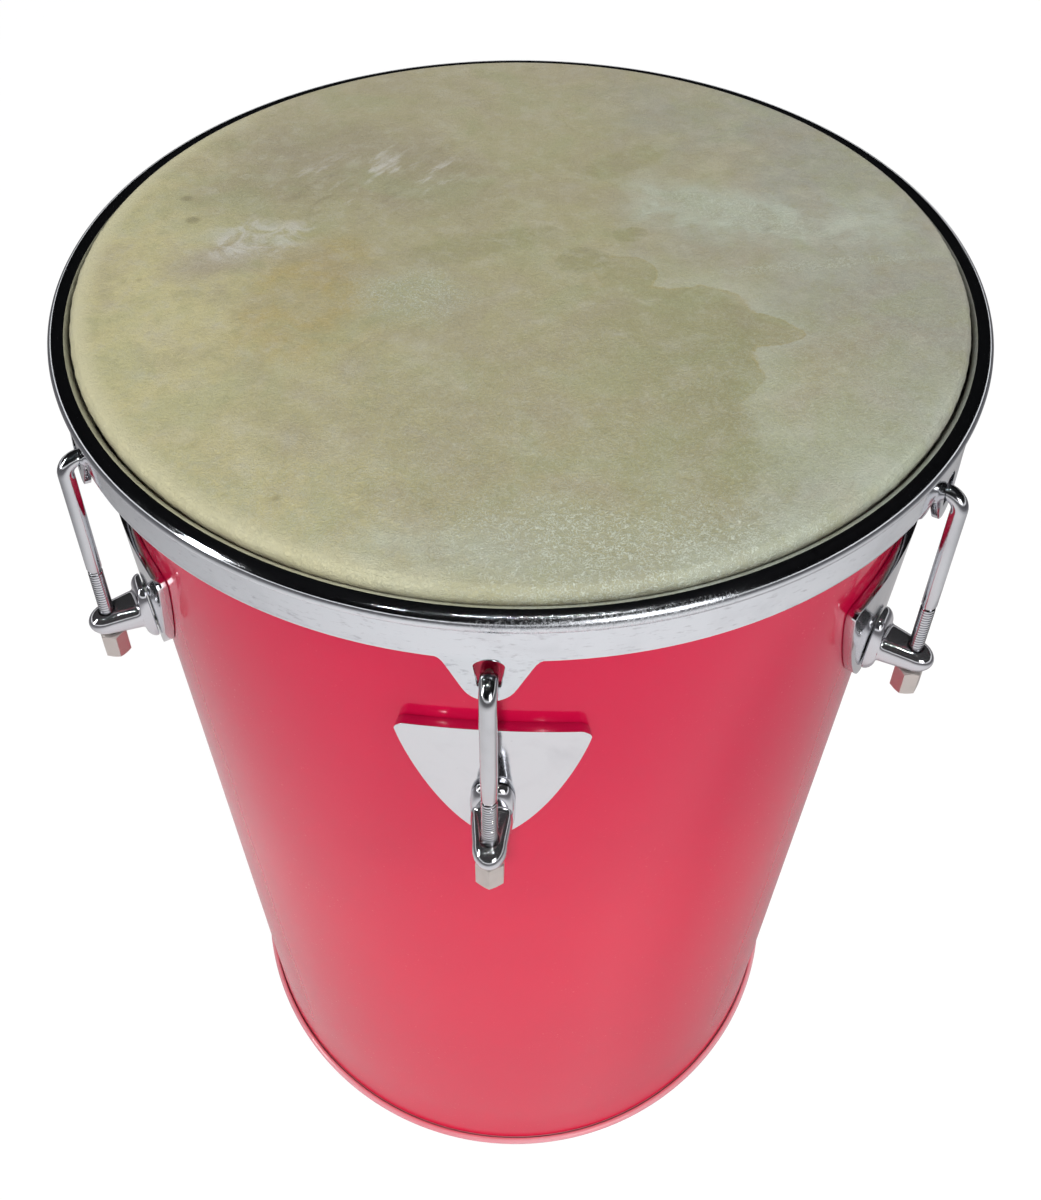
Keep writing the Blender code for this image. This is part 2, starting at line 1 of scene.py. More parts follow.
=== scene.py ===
"""Looks of the rebolo drum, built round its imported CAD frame.

Metres, +Z up, in the frame's own coordinates. The front lug faces -Y.
"""

import json
import logging
import math
from dataclasses import dataclass, field
from enum import Enum
from typing import Callable

import bpy
from mathutils import Matrix, Vector, noise

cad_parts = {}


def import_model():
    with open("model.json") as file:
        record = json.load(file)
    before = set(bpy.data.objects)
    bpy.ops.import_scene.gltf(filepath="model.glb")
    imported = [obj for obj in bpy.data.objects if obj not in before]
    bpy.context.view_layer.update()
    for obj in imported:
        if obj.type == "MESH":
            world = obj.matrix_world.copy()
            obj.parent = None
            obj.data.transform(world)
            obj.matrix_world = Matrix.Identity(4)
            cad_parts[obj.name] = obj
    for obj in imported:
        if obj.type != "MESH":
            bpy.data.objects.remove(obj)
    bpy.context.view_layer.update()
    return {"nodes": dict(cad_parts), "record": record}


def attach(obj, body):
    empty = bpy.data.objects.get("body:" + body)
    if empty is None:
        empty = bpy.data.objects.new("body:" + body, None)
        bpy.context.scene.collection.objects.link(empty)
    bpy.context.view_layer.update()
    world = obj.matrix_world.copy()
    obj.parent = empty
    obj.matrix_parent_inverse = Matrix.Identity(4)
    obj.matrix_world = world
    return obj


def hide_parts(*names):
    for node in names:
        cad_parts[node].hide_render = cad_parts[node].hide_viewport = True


log = logging.getLogger("rebolo_drum")

Point = tuple[float, float, float]
Colour = tuple[float, float, float]


class Body(Enum):
    """Bodies of the frame that the pieces ride on."""

    DRUM = "drum_body"
    HOOP = "hoop"
    ROD = "rod_{}"
    NUT = "nut_{}"


class Look(Enum):
    """Finishes by name, each with the record's slot that it stands for."""

    RED_LACQUER = "red_lacquer"
    GOAT_SKIN = "goat_skin"
    CHROME = "chrome"
    HOOP_CHROME = "chrome hoop"
    CAST_CHROME = "chrome cast"
    SATIN_CHROME = "chrome satin"
    NICKEL = "nickel"
    ZINC = "zinc_steel"

    @property
    def slot(self) -> str:
        """The record's slot."""
        return self.value.split()[0]


# Driving sizes
@dataclass(frozen=True)
class DrumSizes:
    """Levels and radii that more than one piece uses."""

    shell_radius: float = 0.150
    shell_height: float = 0.464
    shell_wall: float = 0.0012
    skin_top: float = 0.4653
    skin_thickness: float = 0.0010
    roll_level: float = 0.4593
    skirt_outside: float = 0.1595
    skirt_wall: float = 0.0020
    skirt_low: float = 0.4451
    roll_reach: float = 0.15685
    lug_count: int = 6
    lug_level: float = 0.3607
    rod_at: float = 0.1691
    rod_lean: float = math.radians(2.924)

    def lug_angle(self, number: int) -> float:
        """Angle of a numbered lug about the drum's axis."""
        return 2 * math.pi * (number - 1) / self.lug_count - math.pi / 2

    def lug_axes(self, number: int) -> Matrix:
        """Axes at a lug: +X out from the drum, +Y round it, +Z up."""
        return Matrix.Rotation(self.lug_angle(number), 4, "Z")

    def rod_axes(self, number: int) -> Matrix:
        """Axes on a rod's own line, from the middle of the lug's arm."""
        place = Matrix.Translation((self.rod_at, 0, self.lug_level))
        return self.lug_axes(number) @ place @ Matrix.Rotation(-self.rod_lean, 4, "Y")


SIZES = DrumSizes()


# Mesh making
def deselect() -> None:
    """Leave edit mode and select nothing."""
    if bpy.context.object and bpy.context.object.mode != "OBJECT":
        bpy.ops.object.mode_set(mode="OBJECT")
    bpy.ops.object.select_all(action="DESELECT")


def edit(piece: bpy.types.Object, select: str = "SELECT") -> None:
    """Open a piece in edit mode with all or none of it selected."""
    deselect()
    piece.select_set(True)
    bpy.context.view_layer.objects.active = piece
    bpy.ops.object.mode_set(mode="EDIT")
    bpy.ops.mesh.select_mode(type="VERT")
    bpy.ops.mesh.select_all(action=select)


def object_mode() -> None:
    """Go back to object mode."""
    bpy.ops.object.mode_set(mode="OBJECT")


def formed_sheet(name: str, columns: int, rows: int, place: Callable[[float, float], Point],
                 weld: float = 1e-6) -> bpy.types.Object:
    """Add a grid and form it over a shape, as sheet is formed over a pattern.

    Args:
        name: The piece's name.
        columns: Faces along u.
        rows: Faces along v.
        place: Point of the shape for u and v, each from 0 to 1.
        weld: Distance under which meeting edges become one.

    Returns:
        The new piece, with its meeting edges welded.
    """
    deselect()
    bpy.ops.mesh.primitive_grid_add(x_subdivisions=columns, y_subdivisions=rows, size=1)
    piece = bpy.context.object
    piece.name = name
    piece.data.name = name
    for vert in piece.data.vertices:
        vert.co = place(min(max(vert.co.x + 0.5, 0.0), 1.0), min(max(vert.co.y + 0.5, 0.0), 1.0))
    edit(piece)
    bpy.ops.mesh.remove_doubles(threshold=weld)
    bpy.ops.mesh.normals_make_consistent(inside=False)
    object_mode()
    return piece


def cap_ends(piece: bpy.types.Object) -> None:
    """Fill every open end of a piece and point its faces outwards."""
    edit(piece, "DESELECT")
    bpy.ops.mesh.select_non_manifold(extend=False, use_wire=False, use_multi_face=False,
                                     use_non_contiguous=False, use_verts=False)
    bpy.ops.mesh.fill_holes(sides=0)
    bpy.ops.mesh.select_all(action="SELECT")
    bpy.ops.mesh.normals_make_consistent(inside=False)
    object_mode()


def join(pieces: list[bpy.types.Object], name: str) -> bpy.types.Object:
    """Join pieces into one object under a name."""
    deselect()
    for piece in pieces:
        piece.select_set(True)
    bpy.context.view_layer.objects.active = pieces[0]
    bpy.ops.object.join()
    joined = bpy.context.object
    joined.name = name
    joined.data.name = name
    return joined


def apply(piece: bpy.types.Object, kind: str, **settings: object) -> None:
    """Add a modifier to a piece and apply it."""
    deselect()
    piece.select_set(True)
    bpy.context.view_layer.objects.active = piece
    modifier = piece.modifiers.new(kind.title(), kind)
    for key, value in settings.items():
        setattr(modifier, key, value)
    bpy.ops.object.modifier_apply(modifier=modifier.name)


def smooth(piece: bpy.types.Object, angle: float = 35.0) -> None:
    """Shade a piece smooth, with edges sharper than an angle kept."""
    deselect()
    piece.select_set(True)
    bpy.context.view_layer.objects.active = piece
    bpy.ops.object.shade_smooth_by_angle(angle=math.radians(angle))


def copy_at(piece: bpy.types.Object, name: str, place: Matrix) -> bpy.types.Object:
    """Copy a piece with its own mesh, and put its place into the mesh."""
    twin = piece.copy()
    twin.data = piece.data.copy()
    twin.name = name
    twin.data.name = name
    bpy.context.scene.collection.objects.link(twin)
    twin.data.transform(place)
    twin.data.update()
    return twin


def discard(piece: bpy.types.Object) -> None:
    """Remove a pattern piece that has been copied."""
    bpy.data.objects.remove(piece, do_unlink=True)


def arc(centre: tuple[float, float], radius: float, start: float, end: float,
        steps: int) -> list[tuple[float, float]]:
    """Points of an arc in the (radius, level) plane; angles in degrees."""
    turns = [math.radians(start + (end - start) * step / steps) for step in range(steps + 1)]
    return [(centre[0] + radius * math.cos(turn), centre[1] + radius * math.sin(turn))
            for turn in turns]


def along(outline: list[tuple[float, float]], share: float) -> tuple[float, float]:
    """The point of an outline at a share of its count of points."""
    index = min(round(share * (len(outline) - 1)), len(outline) - 1)
    return outline[index]


def turned(name: str, outline: list[tuple[float, float]], sides: int) -> bpy.types.Object:
    """Turn an outline of (radius, level) points about the drum's axis."""
    def place(u: float, v: float) -> Point:
        radius, level = along(outline, v)
        turn = 2 * math.pi * u
        return (radius * math.cos(turn), radius * math.sin(turn), level)
    return formed_sheet(name, sides, len(outline) - 1, place)


def tube(name: str, line: list[tuple[Vector, Vector, Vector, float]],
         sides: int) -> bpy.types.Object:
    """A closed tube along sections of (centre, across, beside, radius)."""
    def place(u: float, v: float) -> Point:
        centre, across, beside, radius = line[min(round(v * (len(line) - 1)), len(line) - 1)]
        turn = 2 * math.pi * u
        return tuple(centre + radius * (math.cos(turn) * across + math.sin(turn) * beside))
    piece = formed_sheet(name, sides, len(line) - 1, place)
    cap_ends(piece)
    return piece


# Shader making
class Wire:
    """A value socket that adds Math nodes when it is used in an expression."""

    def __init__(self, sheet: "ShaderSheet", socket: bpy.types.NodeSocket) -> None:
        """Hold a socket and the sheet that it is drawn on."""
        self.sheet = sheet
        self.socket = socket

    def maths(self, operation: str, *others: object) -> "Wire":
        """One Math node on this value and others."""
        values = {index + 1: other for index, other in enumerate(others)}
        node = self.sheet.node("ShaderNodeMath", {"operation": operation}, {0: self, **values})
        return Wire(self.sheet, node.outputs[0])

    def __add__(self, other: object) -> "Wire":
        """Sum."""
        return self.maths("ADD", other)

    __radd__ = __add__

    def __mul__(self, other: object) -> "Wire":
        """Product."""
        return self.maths("MULTIPLY", other)

    __rmul__ = __mul__

    def __sub__(self, other: object) -> "Wire":
        """Difference."""
        return self.maths("SUBTRACT", other)

    def __rsub__(self, other: object) -> "Wire":
        """Difference, from a number."""
        return self.maths("MULTIPLY", -1.0).maths("ADD", other)

    def __pow__(self, other: object) -> "Wire":
        """Power."""
        return self.maths("POWER", other)

    def between(self, low: float, high: float) -> "Wire":
        """A smooth mask that goes from 0 at low to 1 at high."""
        node = self.sheet.node("ShaderNodeMapRange", {"interpolation_type": "SMOOTHSTEP"},
                               {"Value": self, "From Min": low, "From Max": high})
        return Wire(self.sheet, node.outputs["Result"])


class ShaderSheet:
    """The node tree of one material, with the nodes that the finishes use."""

    def __init__(self, name: str) -> None:
        """Start a material with a Principled BSDF."""
        self.material = bpy.data.materials.new(name)
        self.material.use_nodes = True
        self.tree = self.material.node_tree
        self.shader = self.tree.nodes["Principled BSDF"]
        place = self.node("ShaderNodeTexCoord", {}, {})
        self.object_place = place.outputs["Object"]

    def node(self, kind: str, settings: dict, inputs: dict) -> bpy.types.Node:
        """Add one node.

        Args:
            kind: The node's type.
            settings: Attributes, which are set first; "stops" fills a colour ramp.
            inputs: Values, sockets or wires by input name or number.

        Returns:
            The new node.
        """
        new = self.tree.nodes.new(kind)
        for key, value in settings.items():
            setattr(new, key, value)
        for key, value in inputs.items():
            self.feed(new.inputs[key], value)
        return new

    def feed(self, target: bpy.types.NodeSocket, value: object) -> None:
        """Give an input a number, a colour, a socket or a wire."""
        if isinstance(value, Wire):
            self.tree.links.new(value.socket, target)
        elif isinstance(value, bpy.types.NodeSocket):
            self.tree.links.new(value, target)
        elif isinstance(value, tuple) and len(value) == 3 and target.type == "RGBA":
            target.default_value = (*value, 1.0)
        else:
            target.default_value = value

    def grain(self, scale: float, detail: float = 4.0, roughness: float = 0.55,
              distortion: float = 0.0, place: object = None) -> Wire:
        """Noise over the piece; scale is in features per metre."""
        node = self.node("ShaderNodeTexNoise", {}, {
            "Vector": place or self.object_place, "Scale": scale, "Detail": detail,
            "Roughness": roughness, "Distortion": distortion})
        return Wire(self, node.outputs[0])

    def cells(self, scale: float, place: object = None) -> Wire:
        """Distance to the nearest of scattered points."""
        node = self.node("ShaderNodeTexVoronoi", {}, {
            "Vector": place or self.object_place, "Scale": scale})
        return Wire(self, node.outputs["Distance"])

    def axes(self) -> tuple[Wire, Wire, Wire]:
        """The piece's x, y and z as wires."""
        node = self.node("ShaderNodeSeparateXYZ", {}, {0: self.object_place})
        return tuple(Wire(self, node.outputs[index]) for index in range(3))

    def stretched(self, scale: Point, turn: float = 0.0) -> bpy.types.NodeSocket:
        """The piece's place in axes turned about Z, and scaled along them."""
        node = self.node("ShaderNodeMapping", {"vector_type": "TEXTURE"}, {
            "Vector": self.object_place, "Rotation": (0.0, 0.0, turn),
            "Scale": tuple(1 / share for share in scale)})
        return node.outputs[0]

    def blend(self, mask: object, first: object, second: object) -> bpy.types.NodeSocket:
        """Mix two colours by a mask."""
        node = self.node("ShaderNodeMix", {"data_type": "RGBA"}, {0: mask})
        self.feed(node.inputs[6], first)
        self.feed(node.inputs[7], second)
        return node.outputs[2]

    def away(self, centre: tuple[float, float], size: tuple[float, float],
             turn: float = 0.0) -> Wire:
        """Distance from a place on the skin, as a share of an oval's half widths.

        Args:
            centre: Middle of the oval, x and y.
            size: Its half width and half depth.
            turn: Its turn about Z.

        Returns:
            A wire that is 0 in the middle of the oval and 1 on its edge.
        """
        node = self.node("ShaderNodeMapping", {"vector_type": "TEXTURE"}, {
            "Vector": self.object_place, "Location": (*centre, SIZES.skin_top),
            "Rotation": (0.0, 0.0, turn), "Scale": (*size, 1.0)})
        length = self.node("ShaderNodeVectorMath", {"operation": "LENGTH"}, {0: node.outputs[0]})
        return Wire(self, length.outputs["Value"])

    def relief(self, height: Wire, strength: float, distance: float) -> None:
        """Feed a height to the shader's normal through a Bump node."""
        bump = self.node("ShaderNodeBump", {}, {
            "Height": height, "Strength": strength, "Distance": distance})
        self.feed(self.shader.inputs["Normal"], bump.outputs[0])

    def set(self, **values: object) -> None:
        """Set or link inputs of the shader; underscores stand for spaces."""
        for key, value in values.items():
            self.feed(self.shader.inputs[key.replace("_", " ")], value)


# Finishes
@dataclass(frozen=True)
class RedLacquer:
    """Glossy red lacquer over sheet metal, with painted shade towards the top and a painted pale sheen on
    the bottom lip; bare metal inside the shell.
    """

    front: Colour = (0.690, 0.006, 0.050)
    deep: Colour = (0.555, 0.003, 0.046)
    worn_lip: Colour = (0.78, 0.42, 0.46)
    inside: Colour = (0.46, 0.46, 0.45)
    inner_radius: float = 0.1494
    roughness: float = 0.24
    coat: float = 0.49
    coat_roughness: float = 0.04
    gloss: float = 0.03

    def material(self) -> bpy.types.Material:
        """Make the material."""
        sheet = ShaderSheet("red_lacquer")
        x, y, z = sheet.axes()
        cloud = sheet.grain(7.0, detail=3.0)
        # Painted shade: the lacquer is blended darker towards the top, under the hoop, mixed with random
        # cloudy tone.
        high = z.between(0.18, 0.46)
        colour = sheet.blend((cloud * 0.5 + high * 0.55).between(0.15, 0.75), self.front, self.deep)
        inner = 1 - ((x * x + y * y) ** 0.5).between(self.inner_radius - 0.0002,
                                                    self.inner_radius + 0.0002)
        spangle = sheet.cells(55.0).between(0.1, 0.9)
        metal = sheet.blend(spangle, self.inside, (0.60, 0.60, 0.59))
        dust = sheet.grain(900.0, detail=2.0).between(0.60, 0.78)
        # Painted reflection: the bottom bead is blended pale pink, as if it mirrored the white floor.
        wear_and_painted_sheen = (1 - z.between(0.0038, 0.0044)) * (cloud.between(0.3, 0.7) * 0.3 + 0.6)
        colour = sheet.blend(wear_and_painted_sheen, colour, self.worn_lip)
        sheet.set(Base_Color=sheet.blend(inner, colour, metal),
                  Roughness=(sheet.grain(30.0) * 0.08 + self.roughness - 0.04
                             + dust * 0.04 + inner * 0.14),
                  Metallic=inner * 0.8 + 0.05,
                  Coat_Weight=(1 - inner) * self.coat,
                  Coat_Roughness=self.coat_roughness,
                  Specular_IOR_Level=self.gloss)
        sheet.relief(sheet.grain(160.0, detail=2.0), 0.05, 0.0006)
        return sheet.material


@dataclass(frozen=True)
class GoatSkin:
    """Untreated goat skin: stained, clouded, scarred and spotted, with a fine grain, a painted highlight
    on the front-left rim and painted shade at its edge behind the hoop.
    """

    olive: Colour = (0.362, 0.332, 0.195)
    brown: Colour = (0.392, 0.352, 0.230)
    straw: Colour = (0.490, 0.445, 0.240)
    grey: Colour = (0.318, 0.312, 0.255)
    frost: Colour = (0.440, 0.480, 0.400)
    stain: Colour = (0.285, 0.270, 0.140)
    warm: Colour = (0.370, 0.285, 0.105)
    lilac: Colour = (0.330, 0.285, 0.225)
    pale: Colour = (0.450, 0.435, 0.345)
    cream: Colour = (0.560, 0.530, 0.350)
    dark: Colour = (0.150, 0.120, 0.070)
    tip: Colour = (0.600, 0.640, 0.540)
    chalk: Colour = (0.530, 0.515, 0.470)
    green: Colour = (0.318, 0.348, 0.190)
    mauve: Colour = (0.325, 0.278, 0.215)
    umber: Colour = (0.262, 0.226, 0.158)
    islands: tuple[tuple[float, ...], ...] = (
        (0.0218, 0.0003, 0.0100, 0.0080, 0.3), (0.0387, 0.0176, 0.0070, 0.0050, 0.3))
    smudges: tuple[tuple[float, ...], ...] = (
        (0.0370, 0.0680, 0.0230, 0.0065, 0.69), (-0.0130, 0.0080, 0.0300, 0.0075, 0.35))
    lobes: tuple[tuple[float, ...], ...] = (
        (0.0450, -0.0500, 0.0350, 0.0450, 0.0), (0.0300, -0.0950, 0.0475, 0.0460, 0.0),
        (0.0760, -0.0360, 0.0180, 0.0085, -0.1), (0.0380, -0.0070, 0.0130, 0.0120, 0.0))
    blots: tuple[tuple[float, float, float], ...] = (
        (-0.1290, -0.0197, 0.0024), (-0.1198, 0.0178, 0.0026), (-0.0620, -0.1216, 0.0028),
        (-0.1256, 0.0325, 0.0024), (0.0880, 0.0240, 0.0032))
    scratched: float = 0.95
    rim: float = 0.1430

    def zones(self, sheet: ShaderSheet, broad: Wire, cloud: Wire) -> bpy.types.NodeSocket:
        """The slow change of colour from straw at the left to grey at the right."""
        x, y, _ = sheet.axes()
        sway = (broad - 0.5) * 1.3 + (cloud - 0.5) * 0.7
        ground = sheet.blend((y * 7.0 - x * 2.0 + sway).between(0.3, 1.0), self.olive, self.brown)
        ground = sheet.blend((x * -6.0 - y * 3.0 + sway).between(0.35, 1.05), ground, self.straw)
        ground = sheet.blend((x * 7.5 + y - sway).between(0.30, 0.90), ground, self.grey)
        frosted = (x * 4.0 - y * 9.0 - 0.6 + sway).between(0.40, 1.05)
        return sheet.blend(frosted, ground, self.frost)

    def stains(self, sheet: ShaderSheet, ground: object, jag: Wire) -> bpy.types.NodeSocket:
        """The wet-looking patch with its crisp right edge, and the islands behind it."""
        x, y, _ = sheet.axes()
        near = self.nearest(sheet, self.lobes) + jag * 1.05
        halo = (1 - near.between(1.0, 1.5)) * x.between(0.02, 0.07)
        ground = sheet.blend(halo * 0.40, ground, self.frost)
        inner = sheet.blend((x * 9.0 + y * 2.0).between(-0.1, 0.6), self.olive, self.stain)
        faded = (y * -1.0).between(0.050, 0.090)
        wet = (1 - near.between(0.97, 1.02)) * (1 - faded) + (1 - near.between(0.80, 1.20)) * faded
        ground = sheet.blend(wet * x.between(-0.05, 0.04) * 0.90, ground, inner)
        shore = 1 - (near - 0.985).maths("ABSOLUTE").between(0.0, 0.05)
        ground = sheet.blend(shore * x.between(0.0, 0.05) * (1 - faded) * 0.30, ground, self.warm)
        island = 1 - (self.nearest(sheet, self.islands) + jag * 0.9).between(0.90, 1.06)
        return sheet.blend(island * 0.80, ground, self.stain)

    def nearest(self, sheet: ShaderSheet, ovals: tuple[tuple[float, ...], ...]) -> Wire:
        """The least distance to any of some ovals, as a share of their half widths."""
        shares = [sheet.away(oval[:2], oval[2:4], oval[4]) for oval in ovals]
        least = shares[0]
        for share in shares[1:]:
            least = least.maths("MINIMUM", share)
        return least

    def scars(self, sheet: ShaderSheet, ground: object, jag: Wire,
              cloud: Wire) -> bpy.types.NodeSocket:
        """The warm flush, the lilac-white smear with its streaks, and pale clouds."""
        flush = 1 - (sheet.away((-0.070, -0.027), (0.021, 0.038), -0.2) + jag * 2).between(0.3, 1.4)
        ground = sheet.blend(flush * (cloud.between(0.30, 0.60) * 0.40 + 0.34), ground, self.warm)
        brown = 1 - (sheet.away((-0.070, 0.056), (0.060, 0.032), -0.2) + jag * 1.6).between(0.4, 1.4)
        ground = sheet.blend(brown * 0.46, ground, self.umber)
        bruise = 1 - (sheet.away((-0.104, -0.008), (0.020, 0.013), 0.5) + jag * 2).between(0.4, 1.3)
        ground = sheet.blend(bruise * 0.62, ground, self.lilac)
        torn = sheet.grain(95.0, detail=6.0, roughness=0.7, distortion=0.8)
        smear = 1 - (sheet.away((-0.094, 0.006), (0.024, 0.012), 0.55) + jag * 2.4).between(0.4, 1.2)
        ground = sheet.blend(smear * torn.between(0.40, 0.60) * 0.84, ground, self.chalk)
        field_at = sheet.away((-0.058, 0.050), (0.046, 0.026), 0.6)
        scratch = sheet.grain(34.0, detail=7.0, roughness=0.72,
                              place=sheet.stretched((0.9, 3.4, 1.0), self.scratched))
        within = 1 - (field_at + jag).between(0.4, 1.2)
        marks = scratch.between(0.53, 0.66) * within
        ground = sheet.blend(marks * 0.85, ground, self.chalk)
        ground = sheet.blend((1 - scratch.between(0.34, 0.46)) * within * 0.45, ground, self.dark)
        haze = sheet.away((0.088, 0.030), (0.046, 0.024), -0.25) + jag * 2.2
        swipe = sheet.away((0.054, 0.041), (0.024, 0.0060), 0.77) + jag * 1.2
        pale = (1 - haze.between(0.2, 1.5)).maths("MAXIMUM", 1 - swipe.between(0.3, 1.3))
        ground = sheet.blend(pale * (cloud.between(0.34, 0.60) * 0.75 + 0.20), ground, self.frost)
        smudge = 1 - (self.nearest(sheet, self.smudges) + jag * 1.4).between(0.60, 1.30)
        return sheet.blend(smudge * 0.62, ground, self.stain)

    def speckled(self, sheet: ShaderSheet, jag: Wire) -> Wire:
        """Where the grain stands up pale: by the front rim, and in bands on the skin."""
        x, y, _ = sheet.axes()
        rim = (y * -1.0 + jag * 0.030).between(0.110, 0.134) * (x + jag * 0.030).between(-0.030, 0.025)
        band = 1 - (sheet.away((0.080, 0.034), (0.034, 0.010), -0.4) + jag).between(0.5, 1.2)
        curd = 1 - (sheet.away((-0.036, -0.021), (0.019, 0.014), 0.1) + jag * 2.4).between(0.2, 1.3)
        line = 1 - (sheet.away((0.105, 0.003), (0.045, 0.004), 0.2) + jag).between(0.4, 1.2)
        return (rim * 0.9 + band * 0.5 + curd * 0.6 + line * 0.5).maths("MINIMUM", 1.0)

    def material(self) -> bpy.types.Material:
        """Make the material."""
        sheet = ShaderSheet("goat_skin")
        x, y, z = sheet.axes()
        broad = sheet.grain(13.0, detail=4.0, roughness=0.55, distortion=0.5)
        cloud = sheet.grain(44.0, detail=6.0, roughness=0.64, distortion=0.4)
        patchy = sheet.grain(90.0, detail=4.0, roughness=0.62)
        mottle = sheet.grain(150.0, detail=5.0, roughness=0.66)
        fine = sheet.grain(1100.0, detail=3.0, roughness=0.62)
        lobes = sheet.grain(27.0, detail=2.0, roughness=0.45)
        jag = (lobes - 0.5) * 0.9 + (sheet.grain(120.0, detail=3.0) - 0.5) * 0.28
        ground = self.zones(sheet, broad, cloud)
        ground = self.stains(sheet, ground, jag)
        ground = self.scars(sheet, ground, jag, cloud)
        veins = sheet.grain(22.0, detail=5.0, roughness=0.6, distortion=1.1)
        vein = 1 - (veins - 0.5).maths("ABSOLUTE").between(0.0, 0.022)
        ground = sheet.blend(vein * broad.between(0.40, 0.62) * 0.14, ground, self.pale)
        ground = sheet.blend(cloud.between(0.50, 0.75) * 0.38, ground, self.pale)
        ground = sheet.blend((1 - cloud.between(0.28, 0.50)) * 0.34, ground, self.brown)
        ground = sheet.blend(patchy.between(0.52, 0.70) * 0.28, ground, self.pale)
        ground = sheet.blend((1 - patchy.between(0.32, 0.48)) * 0.26, ground, self.stain)
        ground = sheet.blend(mottle.between(0.52, 0.70) * 0.36, ground, self.pale)
        ground = sheet.blend((1 - mottle.between(0.32, 0.48)) * 0.30, ground, self.stain)
        tint = sheet.grain(36.0, detail=5.0, roughness=0.6, distortion=0.6)
        ground = sheet.blend(tint.between(0.48, 0.66) * 0.28, ground, self.green)
        ground = sheet.blend((1 - tint.between(0.34, 0.50)) * 0.26, ground, self.mauve)
        leathery = (x * 4.0 - y * 9.0 + (broad - 0.5) * 1.6).between(0.1, 1.2)
        worms = sheet.grain(1080.0, detail=2.0, roughness=0.5, distortion=0.7)
        worm = 1 - (worms - 0.5).maths("ABSOLUTE").between(0.015, 0.075)
        zone = self.speckled(sheet, jag)
        ground = sheet.blend(zone * 0.30, ground, self.frost)
        tip = worm * sheet.grain(480.0, detail=2.0).between(0.34, 0.54) * (
            leathery * 0.22 + zone * 0.78 + 0.06)
        ground = sheet.blend(fine.between(0.50, 0.75) * 0.16, ground, self.cream)
        ground = sheet.blend((1 - fine.between(0.28, 0.50)) * 0.12, ground, self.dark)
        ground = sheet.blend(tip * 0.92, ground, self.tip)
        ground = sheet.blend((1 - worm) * zone * 0.34, ground, self.stain)
        for along_x, along_y, size in self.blots:
            blot = 1 - (sheet.away((along_x, along_y), (size, size * 0.8)) + jag * 2.5).between(0.0, 1.0)
            ground = sheet.blend(blot * 0.38, ground, self.dark)
        reach = (x * x + y * y) ** 0.5
        # Painted highlight: the outer rim of the skin is blended cream at the front left, where the light
        # falls.
        painted_rim_highlight = (x * -7.0 - y * 3.0).between(0.2, 0.9)
        ground = sheet.blend(reach.between(self.rim, 0.1500) * painted_rim_highlight * 0.7, ground, self.cream)
        # Painted shade: the skin is blended dark, patchily, where it goes down into the gap behind the
        # hoop's roll.
        painted_edge_shade = (1 - z.between(0.4602, 0.4622)) * (patchy.between(0.30, 0.60) * 0.5 + 0.5)
        ground = sheet.blend(painted_edge_shade * 0.50, ground, self.dark)
        sheet.set(Base_Color=ground, Roughness=cloud * 0.18 + fine * 0.16 + 0.34)
        sheet.set(Sheen_Weight=0.05, Sheen_Roughness=0.5, Specular_IOR_Level=0.28)
        wrinkle = sheet.grain(420.0, detail=4.0, roughness=0.6, distortion=0.8)
        grain = tip * 1.2 + worm * (leathery * 0.45 + 0.12) + wrinkle * 1.1 + fine * 0.5 + mottle * 0.6
        sheet.relief(grain, 0.55, 0.00075)
        return sheet.material


@dataclass(frozen=True)
class Plating:
    """Bright plating with faint smudges and fine scratches."""

    name: str
    colour: Colour
    shade: Colour
    roughness: float
    smudge: float
    relief: float = 0.02
    metallic: float = 1.0
    rough_above: float | None = None
    dashes: float = 0.0
    outer_half: tuple[float, float] = (0.1574, 0.1594)

    def material(self) -> bpy.types.Material:
        """Make the material."""
        sheet = ShaderSheet(self.name)
        haze = sheet.grain(45.0, detail=5.0, distortion=0.5).between(0.48, 0.80)
        specks = 1 - sheet.cells(420.0).between(0.05, 0.16)
        wear_and_painted_sheen = specks * sheet.grain(90.0).between(0.55, 0.68)
        scratch = sheet.grain(650.0, detail=2.0, place=sheet.stretched((1.0, 1.0, 9.0)))
        roughness = haze * self.smudge + scratch * self.smudge * 0.35 + wear_and_painted_sheen * 0.12 + self.roughness
        height = sheet.grain(75.0, detail=3.0) + scratch * 0.05
        stain = haze * 0.35 + wear_and_painted_sheen * 0.5
        if self.dashes:
            flow = sheet.grain(230.0, detail=4.0, roughness=0.7,
                               place=sheet.stretched((1.0, 1.0, 3.5)))
            stain = stain + flow.between(0.55, 0.72) * self.dashes
        if self.rough_above is not None:
            x, y, z = sheet.axes()
            rolled = z.between(self.rough_above - 0.0006, self.rough_above + 0.0006)
            speckle = sheet.grain(1400.0, detail=3.0, roughness=0.7)
            abrased = x.between(-0.03, 0.02) * (1 - x.between(0.050, 0.085))
            outer = ((x * x + y * y) ** 0.5).between(*self.outer_half)
            pitted = (y * -1.0).between(0.120, 0.145) * abrased * (outer * 0.85 + 0.15) + 0.05
            pits = speckle.between(0.46, 0.66) * rolled * pitted
            roughness = roughness + pits * 0.20 + rolled * pitted * 0.12
            height = height + pits * 0.42
        sheet.set(Base_Color=sheet.blend(stain.maths("MINIMUM", 1.0), self.colour, self.shade),
                  Roughness=roughness, Metallic=self.metallic)
        sheet.relief(height, self.relief, 0.0012)
        return sheet.material


